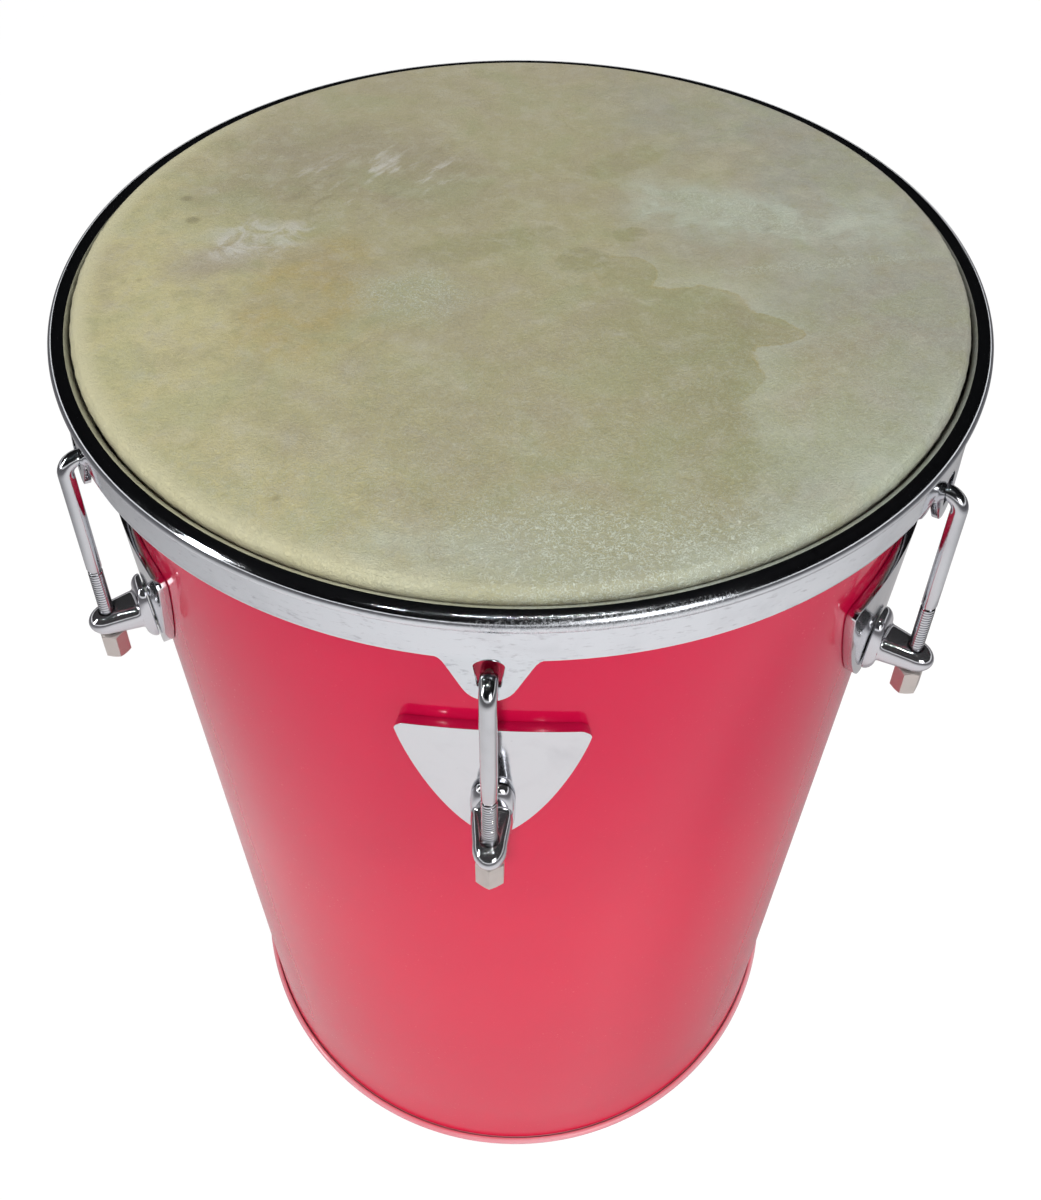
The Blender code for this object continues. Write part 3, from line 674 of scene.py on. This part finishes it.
PLATINGS = {
    Look.CHROME: Plating("chrome", (0.71, 0.725, 0.755), (0.50, 0.50, 0.54), 0.05, 0.14, 0.05),
    Look.HOOP_CHROME: Plating("chrome_hoop", (0.72, 0.745, 0.785), (0.50, 0.51, 0.55), 0.05, 0.12, 0.05,
                              rough_above=0.4570, dashes=0.8),
    Look.CAST_CHROME: Plating("chrome_cast", (0.62, 0.62, 0.655), (0.42, 0.42, 0.45), 0.07, 0.08, 0.08,
                             metallic=0.95),
    Look.SATIN_CHROME: Plating("chrome_satin", (0.60, 0.61, 0.64), (0.46, 0.46, 0.49), 0.12, 0.10, 0.05),
    Look.NICKEL: Plating("nickel", (0.63, 0.58, 0.55), (0.44, 0.40, 0.38), 0.45, 0.14, 0.05,
                         metallic=0.80),
    Look.ZINC: Plating("zinc_steel", (0.66, 0.66, 0.63), (0.44, 0.44, 0.42), 0.28, 0.20, 0.08),
}


@dataclass
class Finishes:
    """Every material of the drum, by look."""

    made: dict[Look, bpy.types.Material] = field(default_factory=dict)

    def __post_init__(self) -> None:
        """Make the materials."""
        self.made = {look: plating.material() for look, plating in PLATINGS.items()}
        self.made[Look.RED_LACQUER] = RedLacquer().material()
        self.made[Look.GOAT_SKIN] = GoatSkin().material()

    def dress(self, piece: bpy.types.Object, look: Look) -> None:
        """Give a piece one finish, in place of any that it has."""
        piece.data.materials.clear()
        piece.data.materials.append(self.made[look])


def settle(piece: bpy.types.Object, finishes: Finishes, look: Look, body: str,
           *nodes: str) -> None:
    """Dress a finished piece, fix it to its body and let it stand for its nodes."""
    finishes.dress(piece, look)
    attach(piece, body)
    look.slot
    if nodes:
        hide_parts(*nodes)
    log.info("%s: %d faces", piece.name, len(piece.data.polygons))


# Sub-assemblies
@dataclass
class Shell:
    """The sheet-metal shell with its bearing curl and bottom bead."""

    curl_radius: float = 0.0022
    bead_radius: float = 0.0022
    bead_sink: float = 0.0003
    sides: int = 600

    def outline(self) -> list[tuple[float, float]]:
        """The sheet's section, once round."""
        inside = SIZES.shell_radius - SIZES.shell_wall
        bead = (inside + self.bead_radius, self.bead_radius - self.bead_sink)
        curl = (SIZES.shell_radius - self.curl_radius, SIZES.shell_height - self.curl_radius)
        thin = self.curl_radius - SIZES.shell_wall
        line = [(r, max(z, 0.0)) for r, z in arc(bead, self.bead_radius, 180, 455, 26)]
        line += arc(bead, self.bead_radius - SIZES.shell_wall, 455, 180, 16)
        line += self.wall(SIZES.shell_radius, bead[1], curl[1])
        line += arc(curl, self.curl_radius, 0, 180, 14)
        line += arc(curl, thin, 180, 0, 8)
        line += self.wall(inside, curl[1], bead[1])
        return line

    def wall(self, radius: float, start: float, end: float, steps: int = 12) -> list[tuple[float, float]]:
        """Points straight up or down the shell between two levels."""
        return [(radius, start + (end - start) * step / steps) for step in range(1, steps)]

    def make(self, finishes: Finishes) -> None:
        """Build and dress the shell."""
        outline = self.outline()
        piece = turned("shell_lacquered", outline + outline[:1], self.sides)
        smooth(piece, 40)
        settle(piece, finishes, Look.RED_LACQUER, Body.DRUM.value, "shell")


@dataclass
class Skin:
    """The goat skin over the bearing edge, its lap pressed into one rounded lip."""

    edge_radius: float = 0.0035
    lip_reach: float = 0.1529
    lip_low: float = 0.4602
    lip_foot: float = 0.4580
    ragged: float = 0.00022
    sides: int = 720
    rings: int = 60
    dimple: float = 0.00022

    def make(self, finishes: Finishes) -> None:
        """Build and dress the skin, from the middle out and down behind the hoop."""
        inner = SIZES.shell_radius + 0.0013
        edge_at = (self.lip_reach - self.edge_radius, SIZES.skin_top - self.edge_radius)
        under_at = (inner - self.edge_radius, edge_at[1])
        line = [(edge_at[0] * (step / self.rings), SIZES.skin_top) for step in range(self.rings)]
        line += arc(edge_at, self.edge_radius, 90, 0, 18)
        line += [(self.lip_reach, self.lip_low), (inner, self.lip_foot), (inner, 0.4490)]
        line += [(inner - SIZES.skin_thickness, 0.4490)]
        line += arc(under_at, self.edge_radius - SIZES.skin_thickness, 0, 90, 8)
        line += [(0.0, SIZES.skin_top - SIZES.skin_thickness)]
        piece = turned("drum_skin_head", line, self.sides)
        for vert in piece.data.vertices:
            reach = vert.co.xy.length
            inwards = 1 - min(reach / edge_at[0], 1.0)
            if vert.co.z > SIZES.skin_top - 1e-6 and inwards > 0.01:
                wave = noise.noise(vert.co * 22) + 0.5 * noise.noise(vert.co * 60)
                vert.co.z -= self.dimple * (1 + wave) * min(1.0, inwards * 12)
            if reach > inner + 1e-6:
                pull = self.ragged * (1 + noise.noise(vert.co * 160) + noise.noise(vert.co * 420))
                vert.co.xy *= 1 - max(pull, 0.0) / reach
        smooth(piece, 60)
        settle(piece, finishes, Look.GOAT_SKIN, Body.DRUM.value, "drum_skin")


@dataclass
class CounterHoop:
    """The chromed hoop: a rolled top, a skirt, and ears with hook holes."""

    roll_radius: float = 0.00362
    roll_wall: float = 0.0011
    roll_sides: int = 28
    roll_steps: int = 360
    skirt_top: float = 0.4585
    ear_shoulder: float = 0.0135
    ear_fillet: float = 0.0015
    ear_low: float = 0.42887
    ear_foot_radius: float = 0.0082
    ear_flare: float = 0.00188
    hole_low: float = 0.43487
    hole_height: float = 0.0103
    hole_crown: float = 0.0025
    hole_half_width: float = 0.0044
    hole_low_half_width: float = 0.0033
    edge: float = 0.00060
    columns_per_lug: int = 170
    rows: int = 14

    def lowest(self, distance: float) -> float:
        """Level of the hoop's lower edge at a distance round from an ear's middle."""
        foot = self.ear_low + self.ear_foot_radius
        away = math.hypot(self.ear_shoulder, SIZES.skirt_low - foot)
        lean = math.atan2(SIZES.skirt_low - foot, self.ear_shoulder)
        touch = lean - math.acos(self.ear_foot_radius / away)
        touch_at = self.ear_foot_radius * math.cos(touch)
        touch_level = foot + self.ear_foot_radius * math.sin(touch)
        distance = abs(distance)
        if distance < touch_at:
            return foot - math.sqrt(self.ear_foot_radius ** 2 - distance ** 2)
        share = (distance - touch_at) / (self.ear_shoulder - touch_at)
        slope = (SIZES.skirt_low - touch_level) / (self.ear_shoulder - touch_at)
        straight = touch_level + (SIZES.skirt_low - touch_level) * share
        past = distance - self.ear_shoulder + self.ear_fillet
        if past <= 0:
            return straight
        if past >= 2 * self.ear_fillet:
            return SIZES.skirt_low
        bend = slope * past * past / (4 * self.ear_fillet)
        return SIZES.skirt_low - slope * self.ear_fillet + slope * past - bend

    def flare(self, level: float) -> float:
        """How far the band stands out at a level, beyond its straight skirt."""
        start = SIZES.skirt_low + SIZES.skirt_wall / 2
        return max(0.0, self.ear_flare * (start - level) / (start - self.ear_low))

    def band(self) -> bpy.types.Object:
        """Skirt and ears as one sheet, drawn out at the middle of each ear."""
        outside = SIZES.skirt_outside

        def place(u: float, v: float) -> Point:
            turn = 2 * math.pi * u
            lug_step = 2 * math.pi / SIZES.lug_count
            from_ear = (turn + lug_step / 2) % lug_step - lug_step / 2
            low = self.lowest(from_ear * outside)
            level = low + (self.skirt_top - low) * v
            reach = outside - SIZES.skirt_wall / 2 + self.flare(level)
            angle = turn + SIZES.lug_angle(1)
            return (reach * math.cos(angle), reach * math.sin(angle), level)

        piece = formed_sheet("hoop_band", self.columns_per_lug * SIZES.lug_count, self.rows, place)
        apply(piece, "SOLIDIFY", thickness=SIZES.skirt_wall, offset=0.0, use_even_offset=True)
        return piece

    def hole_cutter(self) -> bpy.types.Object:
        """One prism for every hook hole."""
        top = self.hole_low + self.hole_height
        side = top - self.hole_crown
        right = [(self.hole_low_half_width, self.hole_low), (self.hole_half_width, side)]
        crown = [(self.hole_half_width * math.cos(math.radians(turn)),
                  side + self.hole_crown * math.sin(math.radians(turn))) for turn in range(15, 166, 15)]
        outline = right + crown + [(-y, z) for y, z in reversed(right)]
        cutters = []
        for number in range(1, SIZES.lug_count + 1):
            def place(u: float, v: float) -> Point:
                y, z = outline[round(u * len(outline)) % len(outline)]
                reach = SIZES.skirt_outside + (v - 0.5) * 0.016
                return tuple(SIZES.lug_axes(number) @ Vector((reach, y, z)))
            cutter = formed_sheet(f"hole_cutter_{number}", len(outline), 1, place)
            cap_ends(cutter)
            cutters.append(cutter)
        return join(cutters, "hook_hole_cutter")

    def roll(self) -> bpy.types.Object:
        """The rolled top: a tube whose free edge turns in above the skirt."""
        middle = (SIZES.roll_reach, SIZES.roll_level)
        line = arc(middle, self.roll_radius, -62, 262, self.roll_sides)
        line += arc(middle, self.roll_radius - self.roll_wall, 262, -62, self.roll_sides)
        return turned("hoop_roll", line + line[:1], self.roll_steps)

    def make(self, finishes: Finishes) -> None:
        """Build and dress the hoop."""
        band = self.band()
        cutter = self.hole_cutter()
        apply(band, "BOOLEAN", operation="DIFFERENCE", solver="EXACT", object=cutter)
        discard(cutter)
        apply(band, "BEVEL", width=self.edge, segments=2, limit_method="ANGLE",
              angle_limit=math.radians(50))
        hoop = join([band, self.roll()], "counter_hoop_chromed")
        smooth(hoop, 40)
        settle(hoop, finishes, Look.HOOP_CHROME, Body.HOOP.value, "counter_hoop")


@dataclass
class LugPlate:
    """A rounded shield plate that follows the shell, between arm and shell."""

    inside: float = 0.1503
    thickness: float = 0.0035
    half_width: float = 0.0300
    rise: float = 0.0400
    fall: float = 0.0200
    crown: float = 0.0025
    corner: float = 0.0030
    narrowing: float = 1.3
    tip_rounding: float = 0.66
    edge: float = 0.0013
    columns: int = 48
    rows: int = 44

    def half_span(self, down: float) -> float:
        """Half width at a share of the way down from the shoulders."""
        shape = max(0.0, 1 - down ** self.narrowing) ** self.tip_rounding
        corner = self.corner / (self.rise + self.fall)
        short = max(0.0, 1 - down / corner) ** 2 if down < corner else 0.0
        return self.half_width * shape - self.corner * short

    def pattern(self) -> bpy.types.Object:
        """The plate at the first lug's axes, wrapped to the shell, with soft edges."""
        tall = self.rise + self.fall

        def place(u: float, v: float) -> Point:
            down = 1 - v
            span = self.half_span(down)
            side = 2 * u - 1
            y = side * span
            crown = self.crown * max(0.0, 1 - (y / self.half_width) ** 2) * v ** 6
            z = SIZES.lug_level + self.rise - tall * down + crown
            turn = y / self.inside
            reach = self.inside
            return (reach * math.cos(turn), reach * math.sin(turn), z)

        piece = formed_sheet("plate_pattern", self.columns, self.rows, place, weld=2e-5)
        edit(piece)
        bpy.ops.mesh.extrude_region_move()
        object_mode()
        out = 1 + self.thickness / self.inside
        for vert in piece.data.vertices:
            if vert.select:
                vert.co.x *= out
                vert.co.y *= out
        edit(piece)
        bpy.ops.mesh.normals_make_consistent(inside=False)
        object_mode()
        apply(piece, "BEVEL", width=self.edge, segments=4, limit_method="ANGLE",
              angle_limit=math.radians(60))
        smooth(piece, 30)
        return piece


@dataclass
class LugArm:
    """A cast arm: screwed foot, tapering round arm and a ball-like nose."""

    back: float = 0.1541
    foot_thickness: float = 0.0040
    foot_half: tuple[float, float] = (0.0074, 0.0141)
    foot_dome: tuple[Point, ...] = (
        (0.0, 0.0004, 0.0004), (0.0004, 0.0, 0.0), (0.0012, 0.0, 0.0001), (0.0020, 0.0001, 0.0007),
        (0.0028, 0.0003, 0.0017), (0.0034, 0.0005, 0.0030), (0.0038, 0.0006, 0.0045))
    root_half: tuple[float, float] = (0.0069, 0.0056)
    end_half: tuple[float, float] = (0.0057, 0.0051)
    nose: float = 0.00734
    fillet: float = 0.0016
    eye_radius: float = 0.0031
    sides: int = 48

    def sections(self) -> list[tuple[float, float, float, float]]:
        """Sections out along the arm: reach, half width, half height, squareness."""
        face = self.back + self.foot_thickness
        wide, high = self.foot_half
        line = [(self.back + out, wide - inside, high - short, 3.0)
                for out, inside, short in self.foot_dome]
        for turn in (90, 65, 40, 15, 0):
            reach = face + self.fillet * (1 - math.sin(math.radians(turn)))
            line.append((reach, self.root_half[0], self.root_half[1] + self.flank(turn), 3.0))
        steps = 5
        for step in range(1, steps + 1):
            share = step / steps
            line.append((face + self.fillet + (SIZES.rod_at - face - self.fillet) * share,
                         self.root_half[0] + (self.end_half[0] - self.root_half[0]) * share,
                         self.root_half[1] + (self.end_half[1] - self.root_half[1]) * share,
                         3.0 - 0.4 * share))
        for turn in (12, 24, 36, 48, 60, 70, 79, 86):
            shrink = math.cos(math.radians(turn))
            line.append((SIZES.rod_at + self.nose * math.sin(math.radians(turn)),
                         self.end_half[0] * shrink, self.end_half[1] * shrink, 2.6 - turn / 150))
        return line

    def flank(self, turn: float) -> float:
        """How far the fillet at the arm's root stands out at a turn in degrees."""
        return self.fillet * (1 - math.cos(math.radians(turn)))

    def pattern(self) -> bpy.types.Object:
        """The arm at the first lug's axes, with the rod's eye."""
        line = self.sections()

        def place(u: float, v: float) -> Point:
            reach, wide, high, square = line[min(round(v * (len(line) - 1)), len(line) - 1)]
            turn = 2 * math.pi * u
            y = math.copysign(abs(math.cos(turn)) ** (2 / square), math.cos(turn))
            z = math.copysign(abs(math.sin(turn)) ** (2 / square), math.sin(turn))
            return (reach, wide * y, SIZES.lug_level + high * z)

        piece = formed_sheet("arm_pattern", self.sides, len(line) - 1, place)
        cap_ends(piece)
        deselect()
        bpy.ops.mesh.primitive_cylinder_add(vertices=32, radius=self.eye_radius, depth=0.03)
        eye = bpy.context.object
        eye.data.transform(SIZES.lug_axes(1).inverted() @ SIZES.rod_axes(1))
        apply(piece, "BOOLEAN", operation="DIFFERENCE", solver="EXACT", object=eye)
        discard(eye)
        apply(piece, "BEVEL", width=0.0003, segments=2, limit_method="ANGLE",
              angle_limit=math.radians(55))
        smooth(piece, 42)
        return piece


@dataclass
class HookRod:
    """A bent rod with a threaded lower end."""

    radius: float = 0.00267
    shank_top: float = 0.07218
    bend_radius: float = 0.0057
    tip_length: float = 0.0090
    tip_taper: float = 0.0060
    tip_radius: float = 0.0015
    thread_top: float = 0.0270
    low: float = -0.0150
    pitch: float = 0.00125
    thread_depth: float = 0.00045
    sides: int = 24

    def plain(self) -> bpy.types.Object:
        """The smooth rod from the top of its thread to the tip of its hook."""
        out, side, up = Vector((1, 0, 0)), Vector((0, 1, 0)), Vector((0, 0, 1))
        core = self.radius - self.thread_depth
        line = [(up * self.low, out, side, core - 0.0004), (up * (self.low + 0.0006), out, side, core),
                (up * (self.thread_top - 0.0004), out, side, core),
                (up * (self.thread_top + 0.0008), out, side, self.radius)]
        line += [(up * level, out, side, self.radius) for level in (0.04, self.shank_top)]
        bend = up * self.shank_top - out * self.bend_radius
        steps = 20
        for step in range(1, steps + 1):
            turn = math.pi * step / steps
            across = math.cos(turn) * out + math.sin(turn) * up
            line.append((bend + self.bend_radius * across, across, side, self.radius))
        foot = bend - out * self.bend_radius
        straight = self.tip_length - self.tip_taper
        line.append((foot - up * straight, -out, side, self.radius))
        for step in range(1, 9):
            share = step / 8
            shrink = self.radius + (self.tip_radius - self.radius) * share ** 1.6
            line.append((foot - up * (straight + (self.tip_taper - 0.0006) * share), -out, side, shrink))
        line.append((foot - up * self.tip_length, -out, side, self.tip_radius - 0.0006))
        return tube("rod_plain", line, self.sides)

    def thread(self) -> bpy.types.Object:
        """The thread: one ridge wound up the rod in a helix."""
        turns = round((self.thread_top - self.low - 0.001) / self.pitch)
        per_turn = 20
        core = self.radius - self.thread_depth - 0.0001
        across = [(core, 0.06), (self.radius - 0.00008, 0.22), (self.radius - 0.00008, 0.72), (core, 0.88)]

        def place(u: float, v: float) -> Point:
            radius, share = across[min(round(v * 3), 3)]
            turn = 2 * math.pi * turns * u
            taper = min(1.0, u * turns * 0.8, (1 - u) * turns * 0.8)
            reach = core + (radius - core) * taper
            level = self.low + 0.0002 + self.pitch * (turns * u + share)
            return (reach * math.cos(turn), reach * math.sin(turn), level)

        return formed_sheet("rod_thread", turns * per_turn, 3, place)

    def pattern(self) -> bpy.types.Object:
        """The whole rod on its own axes."""
        plain, thread = self.plain(), self.thread()
        smooth(plain, 38)
        smooth(thread, 20)
        return join([plain, thread], "rod_pattern")


@dataclass
class TuningNut:
    """A tall hexagon nut, chamfered at both ends, with a plain bore."""

    flats: float = 0.0090
    top: float = -0.0057
    height: float = 0.0115
    chamfer: float = 0.0006
    bore: float = 0.0031
    edge: float = 0.00018

    def pattern(self) -> bpy.types.Object:
        """The nut on its rod's axes."""
        deselect()
        corner = self.flats / 2 / math.cos(math.pi / 6)
        middle = (0, 0, self.top - self.height / 2)
        bpy.ops.mesh.primitive_cylinder_add(vertices=6, radius=corner, depth=self.height,
                                            location=middle, rotation=(0, 0, math.pi / 6))
        piece = bpy.context.object
        piece.name = "nut_pattern"
        bpy.ops.object.transform_apply(location=True, rotation=True, scale=True)
        outline = [(corner - self.chamfer * 1.6, self.top), (corner + 0.0001, self.top - self.chamfer),
                   (corner + 0.0001, self.top - self.height + self.chamfer),
                   (corner - self.chamfer * 1.6, self.top - self.height)]
        rounder = turned("nut_rounder", outline, 96)
        cap_ends(rounder)
        apply(piece, "BOOLEAN", operation="INTERSECT", solver="EXACT", object=rounder)
        discard(rounder)
        deselect()
        bpy.ops.mesh.primitive_cylinder_add(vertices=40, radius=self.bore, depth=self.height * 2,
                                            location=middle)
        drill = bpy.context.object
        bpy.ops.object.transform_apply(location=True, rotation=True, scale=True)
        apply(piece, "BOOLEAN", operation="DIFFERENCE", solver="EXACT", object=drill)
        discard(drill)
        apply(piece, "BEVEL", width=self.edge, segments=2, limit_method="ANGLE",
              angle_limit=math.radians(32))
        smooth(piece, 28)
        return piece


@dataclass
class Lugs:
    """All six lugs with their rods and nuts, each copied from one pattern."""

    plate: LugPlate = field(default_factory=LugPlate)
    arm: LugArm = field(default_factory=LugArm)
    rod: HookRod = field(default_factory=HookRod)
    nut: TuningNut = field(default_factory=TuningNut)
    nut_turns: tuple[float, ...] = (0.0, 30.0, 0.0, 0.0, 0.0, 30.0)

    def make(self, finishes: Finishes) -> None:
        """Build, place and dress every lug's pieces."""
        plate, arm = self.plate.pattern(), self.arm.pattern()
        rod, nut = self.rod.pattern(), self.nut.pattern()
        for number in range(1, SIZES.lug_count + 1):
            at_lug, at_rod = SIZES.lug_axes(number), SIZES.rod_axes(number)
            turned_nut = Matrix.Rotation(math.radians(self.nut_turns[number - 1]), 4, "Z")
            drum = Body.DRUM.value
            settle(copy_at(plate, f"shield_plate_{number}", at_lug), finishes, Look.CHROME, drum,
                   f"lug_plate_{number}")
            settle(copy_at(arm, f"cast_arm_{number}", at_lug), finishes, Look.CAST_CHROME, drum,
                   f"lug_arm_{number}")
            settle(copy_at(rod, f"threaded_hook_{number}", at_rod), finishes, Look.SATIN_CHROME,
                   Body.ROD.value.format(number), f"hook_rod_{number}")
            settle(copy_at(nut, f"hexagon_nut_{number}", at_rod @ turned_nut), finishes,
                   Look.NICKEL, Body.NUT.value.format(number), f"tuning_nut_{number}")
        for pattern in (plate, arm, rod, nut):
            discard(pattern)


def dress_frame(frame: dict, finishes: Finishes) -> None:
    """Give every CAD node that still shows its finish."""
    looks = {part["node"]: Look(part["material_slot"]) for part in frame["record"]["subparts"]}
    for name, node in frame["nodes"].items():
        finishes.dress(node, looks[name])


# Camera, light and floor
@dataclass(frozen=True)
class PhotoCamera:
    """The photograph's camera, found from the drum's outlines."""

    image: tuple[int, int] = (1041, 1200)
    focal_px: float = 1176.1
    middle_px: tuple[float, float] = (504.3, 533.6)
    distance: float = 0.4240
    elevation: float = math.radians(34.262)
    azimuth: float = math.radians(2.6)
    roll: float = math.radians(0.366)
    yaw: float = math.radians(-0.628)
    pitch: float = math.radians(-12.497)
    sensor: float = 36.0

    def matrix(self) -> Matrix:
        """The camera's place and aim."""
        place = Vector((0, -math.cos(self.elevation), math.sin(self.elevation))) * self.distance
        ahead, right = -place.normalized(), Vector((1, 0, 0))
        above = right.cross(ahead)
        ahead, right = self.turn(ahead, right, self.yaw)
        ahead, above = self.turn(ahead, above, self.pitch)
        right, above = self.turn(right, above, self.roll)
        matrix = Matrix((right, above, -ahead)).transposed().to_4x4()
        matrix.translation = place
        lift = Matrix.Translation((0, 0, SIZES.roll_level))
        return lift @ Matrix.Rotation(self.azimuth, 4, "Z") @ matrix

    def turn(self, first: Vector, second: Vector, angle: float) -> tuple[Vector, Vector]:
        """Turn two unit vectors in their common plane, the first towards the second."""
        return (math.cos(angle) * first + math.sin(angle) * second,
                math.cos(angle) * second - math.sin(angle) * first)

    def make(self) -> None:
        """Add the camera and make it the scene's own."""
        data = bpy.data.cameras.new("photo_camera")
        camera = bpy.data.objects.new("photo_camera", data)
        bpy.context.scene.collection.objects.link(camera)
        camera.matrix_world = self.matrix()
        wide, tall = self.image
        data.sensor_width = self.sensor
        data.lens = self.focal_px / tall * self.sensor
        data.shift_x = (wide / 2 - self.middle_px[0]) / tall
        data.shift_y = (self.middle_px[1] - tall / 2) / tall
        data.clip_start = 0.01
        bpy.context.scene.camera = camera


@dataclass(frozen=True)
class Studio:
    """Pale floor, white surroundings and soft lamps; mirrors see the floor with a painted pool of light
    that falls off to grey, and painted shadows by the drum.
    """

    floor_size: float = 60.0
    floor_colour: Colour = (0.78, 0.78, 0.78)
    white: Colour = (1.045, 1.045, 1.045)
    far: Colour = (0.17, 0.165, 0.175)
    pool: tuple[float, float] = (0.22, 1.20)
    pool_middle: Point = (0.10, -0.30, 0.0)
    dusk_middle: tuple[float, float] = (0.24, 0.06)
    dusk_reach: tuple[float, float] = (0.26, 0.22)
    dusk: float = 0.54
    contact: float = 0.22
    whiteness: float = 0.92
    mirrored: float = 0.22
    fill: float = 0.42
    sparkles: tuple[Point, ...] = (
        (-0.70, -1.20, 2.10), (0.20, -0.60, 2.30), (-0.15, -0.90, 2.30), (0.50, -0.95, 2.20))
    ceiling_level: float = 2.5
    ceiling_size: float = 30.0
    ceiling_colour: Colour = (0.012, 0.012, 0.013)

    def make_floor(self) -> None:
        """A pale floor that meets the white surroundings; mirrors see it with a painted pool of light and
        painted shadows.
        """
        deselect()
        bpy.ops.mesh.primitive_plane_add(size=self.floor_size, location=(0, 0, 0))
        floor = bpy.context.object
        floor.name = "studio_floor"
        sheet = ShaderSheet("studio_floor")
        rays = sheet.node("ShaderNodeLightPath", {}, {})
        direct = Wire(sheet, rays.outputs["Is Camera Ray"]).maths(
            "MAXIMUM", rays.outputs["Is Transmission Ray"])
        seen = direct * self.whiteness + Wire(sheet, rays.outputs["Is Glossy Ray"]) * self.mirrored
        # Painted pool of light, seen only by mirrors: the floor turns grey away from a middle in front of
        # the drum.
        away = sheet.node("ShaderNodeVectorMath", {"operation": "DISTANCE"},
                          {0: sheet.object_place, 1: self.pool_middle})
        painted_falloff = Wire(sheet, away.outputs["Value"]).between(*self.pool) * (1 - direct)
        x, y, _ = sheet.axes()
        # Painted shadows, seen only by mirrors: the floor darkens on the drum's right and in a ring close
        # round the drum.
        aside = (x - self.dusk_middle[0]) * (1 / self.dusk_reach[0])
        behind = (y - self.dusk_middle[1]) * (1 / self.dusk_reach[1])
        from_painted_shadow = (aside * aside + behind * behind) ** 0.5
        dusk = (1 - from_painted_shadow.between(0.95, 1.45)) * self.dusk
        contact = (1 - ((x * x + y * y) ** 0.5).between(0.17, 0.30)) * self.contact
        painted_falloff = painted_falloff.maths("MAXIMUM", dusk.maths("MAXIMUM", contact) * (1 - direct))
        dimmed = painted_falloff * rays.outputs["Is Glossy Ray"]
        sheet.set(Base_Color=sheet.blend(dimmed, self.floor_colour, self.far), Roughness=0.9)
        glow = sheet.node("ShaderNodeEmission", {}, {
            "Color": sheet.blend(painted_falloff, self.white, self.far), "Strength": 1.0})
        mix = sheet.node("ShaderNodeMixShader", {}, {0: seen})
        sheet.feed(mix.inputs[1], sheet.shader.outputs[0])
        sheet.feed(mix.inputs[2], glow.outputs[0])
        out = sheet.tree.nodes["Material Output"]
        sheet.feed(out.inputs[0], mix.outputs[0])
        floor.data.materials.append(sheet.material)

    def make_ceiling(self) -> None:
        """A dark ceiling card, which only mirror-like surfaces see."""
        deselect()
        bpy.ops.mesh.primitive_plane_add(size=self.ceiling_size,
                                         location=(0, 0, self.ceiling_level))
        ceiling = bpy.context.object
        ceiling.name = "studio_ceiling"
        sheet = ShaderSheet("studio_ceiling")
        sheet.set(Base_Color=self.ceiling_colour, Roughness=1.0, Specular_IOR_Level=0.0)
        ceiling.data.materials.append(sheet.material)
        ceiling.visible_camera = False
        ceiling.visible_diffuse = False
        ceiling.visible_shadow = False

    def make_world(self) -> None:
        """White for eyes and mirrors, and an even grey light on the drum."""
        world = bpy.data.worlds.new("studio")
        bpy.context.scene.world = world
        world.use_nodes = True
        tree = world.node_tree
        ground = tree.nodes["Background"]
        rays = tree.nodes.new("ShaderNodeLightPath")
        shown = rays.outputs["Is Camera Ray"]
        for kind in ("Is Glossy Ray", "Is Transmission Ray"):
            more = tree.nodes.new("ShaderNodeMath")
            more.operation = "MAXIMUM"
            tree.links.new(shown, more.inputs[0])
            tree.links.new(rays.outputs[kind], more.inputs[1])
            shown = more.outputs[0]
        mix = tree.nodes.new("ShaderNodeMix")
        mix.data_type = "RGBA"
        mix.inputs[6].default_value = (self.fill,) * 3 + (1,)
        mix.inputs[7].default_value = (1, 1, 1, 1)
        tree.links.new(shown, mix.inputs[0])
        tree.links.new(mix.outputs[2], ground.inputs[0])

    def add_lamp(self, name: str, place: Point, size: tuple[float, float], power: float,
                 lights: bool = True, mirrored: bool = True) -> None:
        """A soft lamp aimed at the drum's upper half.

        Args:
            name: The lamp's name.
            place: Its middle.
            size: Its width and height.
            power: Its power in watts.
            lights: Whether matt surfaces catch its light.
            mirrored: Whether glossy surfaces mirror it.
        """
        data = bpy.data.lights.new(name, "AREA")
        data.shape = "RECTANGLE"
        data.size, data.size_y = size
        data.energy = power
        lamp = bpy.data.objects.new(name, data)
        bpy.context.scene.collection.objects.link(lamp)
        lamp.location = place
        aim = Vector((0, 0, 0.3)) - Vector(place)
        lamp.rotation_euler = aim.to_track_quat("-Z", "Y").to_euler()
        lamp.visible_diffuse = lights
        lamp.visible_glossy = mirrored

    def make(self) -> None:
        """Build the studio."""
        self.make_floor()
        self.make_ceiling()
        self.make_world()
        self.add_lamp("key_front", (-0.08, -1.42, 1.75), (0.20, 0.20), 26.5, mirrored=False)
        self.add_lamp("key_left", (-1.90, -0.65, 1.70), (0.12, 0.12), 4)
        self.add_lamp("key_right", (1.6, -1.2, 1.9), (0.18, 0.18), 11, mirrored=False)
        self.add_lamp("back_soft", (0.3, 1.9, 1.8), (1.2, 1.2), 6, mirrored=False)
        self.add_lamp("panel_left", (-1.72, -0.85, 0.90), (0.30, 0.90), 9, lights=False)
        self.add_lamp("panel_right", (0.90, -1.62, 0.90), (0.70, 0.70), 7, lights=False)
        for number, place in enumerate(self.sparkles, start=1):
            self.add_lamp(f"sparkle_{number}", place, (0.03, 0.03), 0.9, lights=False)


def main() -> None:
    """Build the drum's looks, its studio and its camera."""
    logging.basicConfig(level=logging.INFO, format="%(message)s")
    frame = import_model()
    finishes = Finishes()
    dress_frame(frame, finishes)
    Shell().make(finishes)
    Skin().make(finishes)
    CounterHoop().make(finishes)
    Lugs().make(finishes)
    Studio().make()
    PhotoCamera().make()
    bpy.context.scene.view_settings.view_transform = "Standard"
    bpy.context.view_layer.update()


if __name__ == "__main__":
    main()
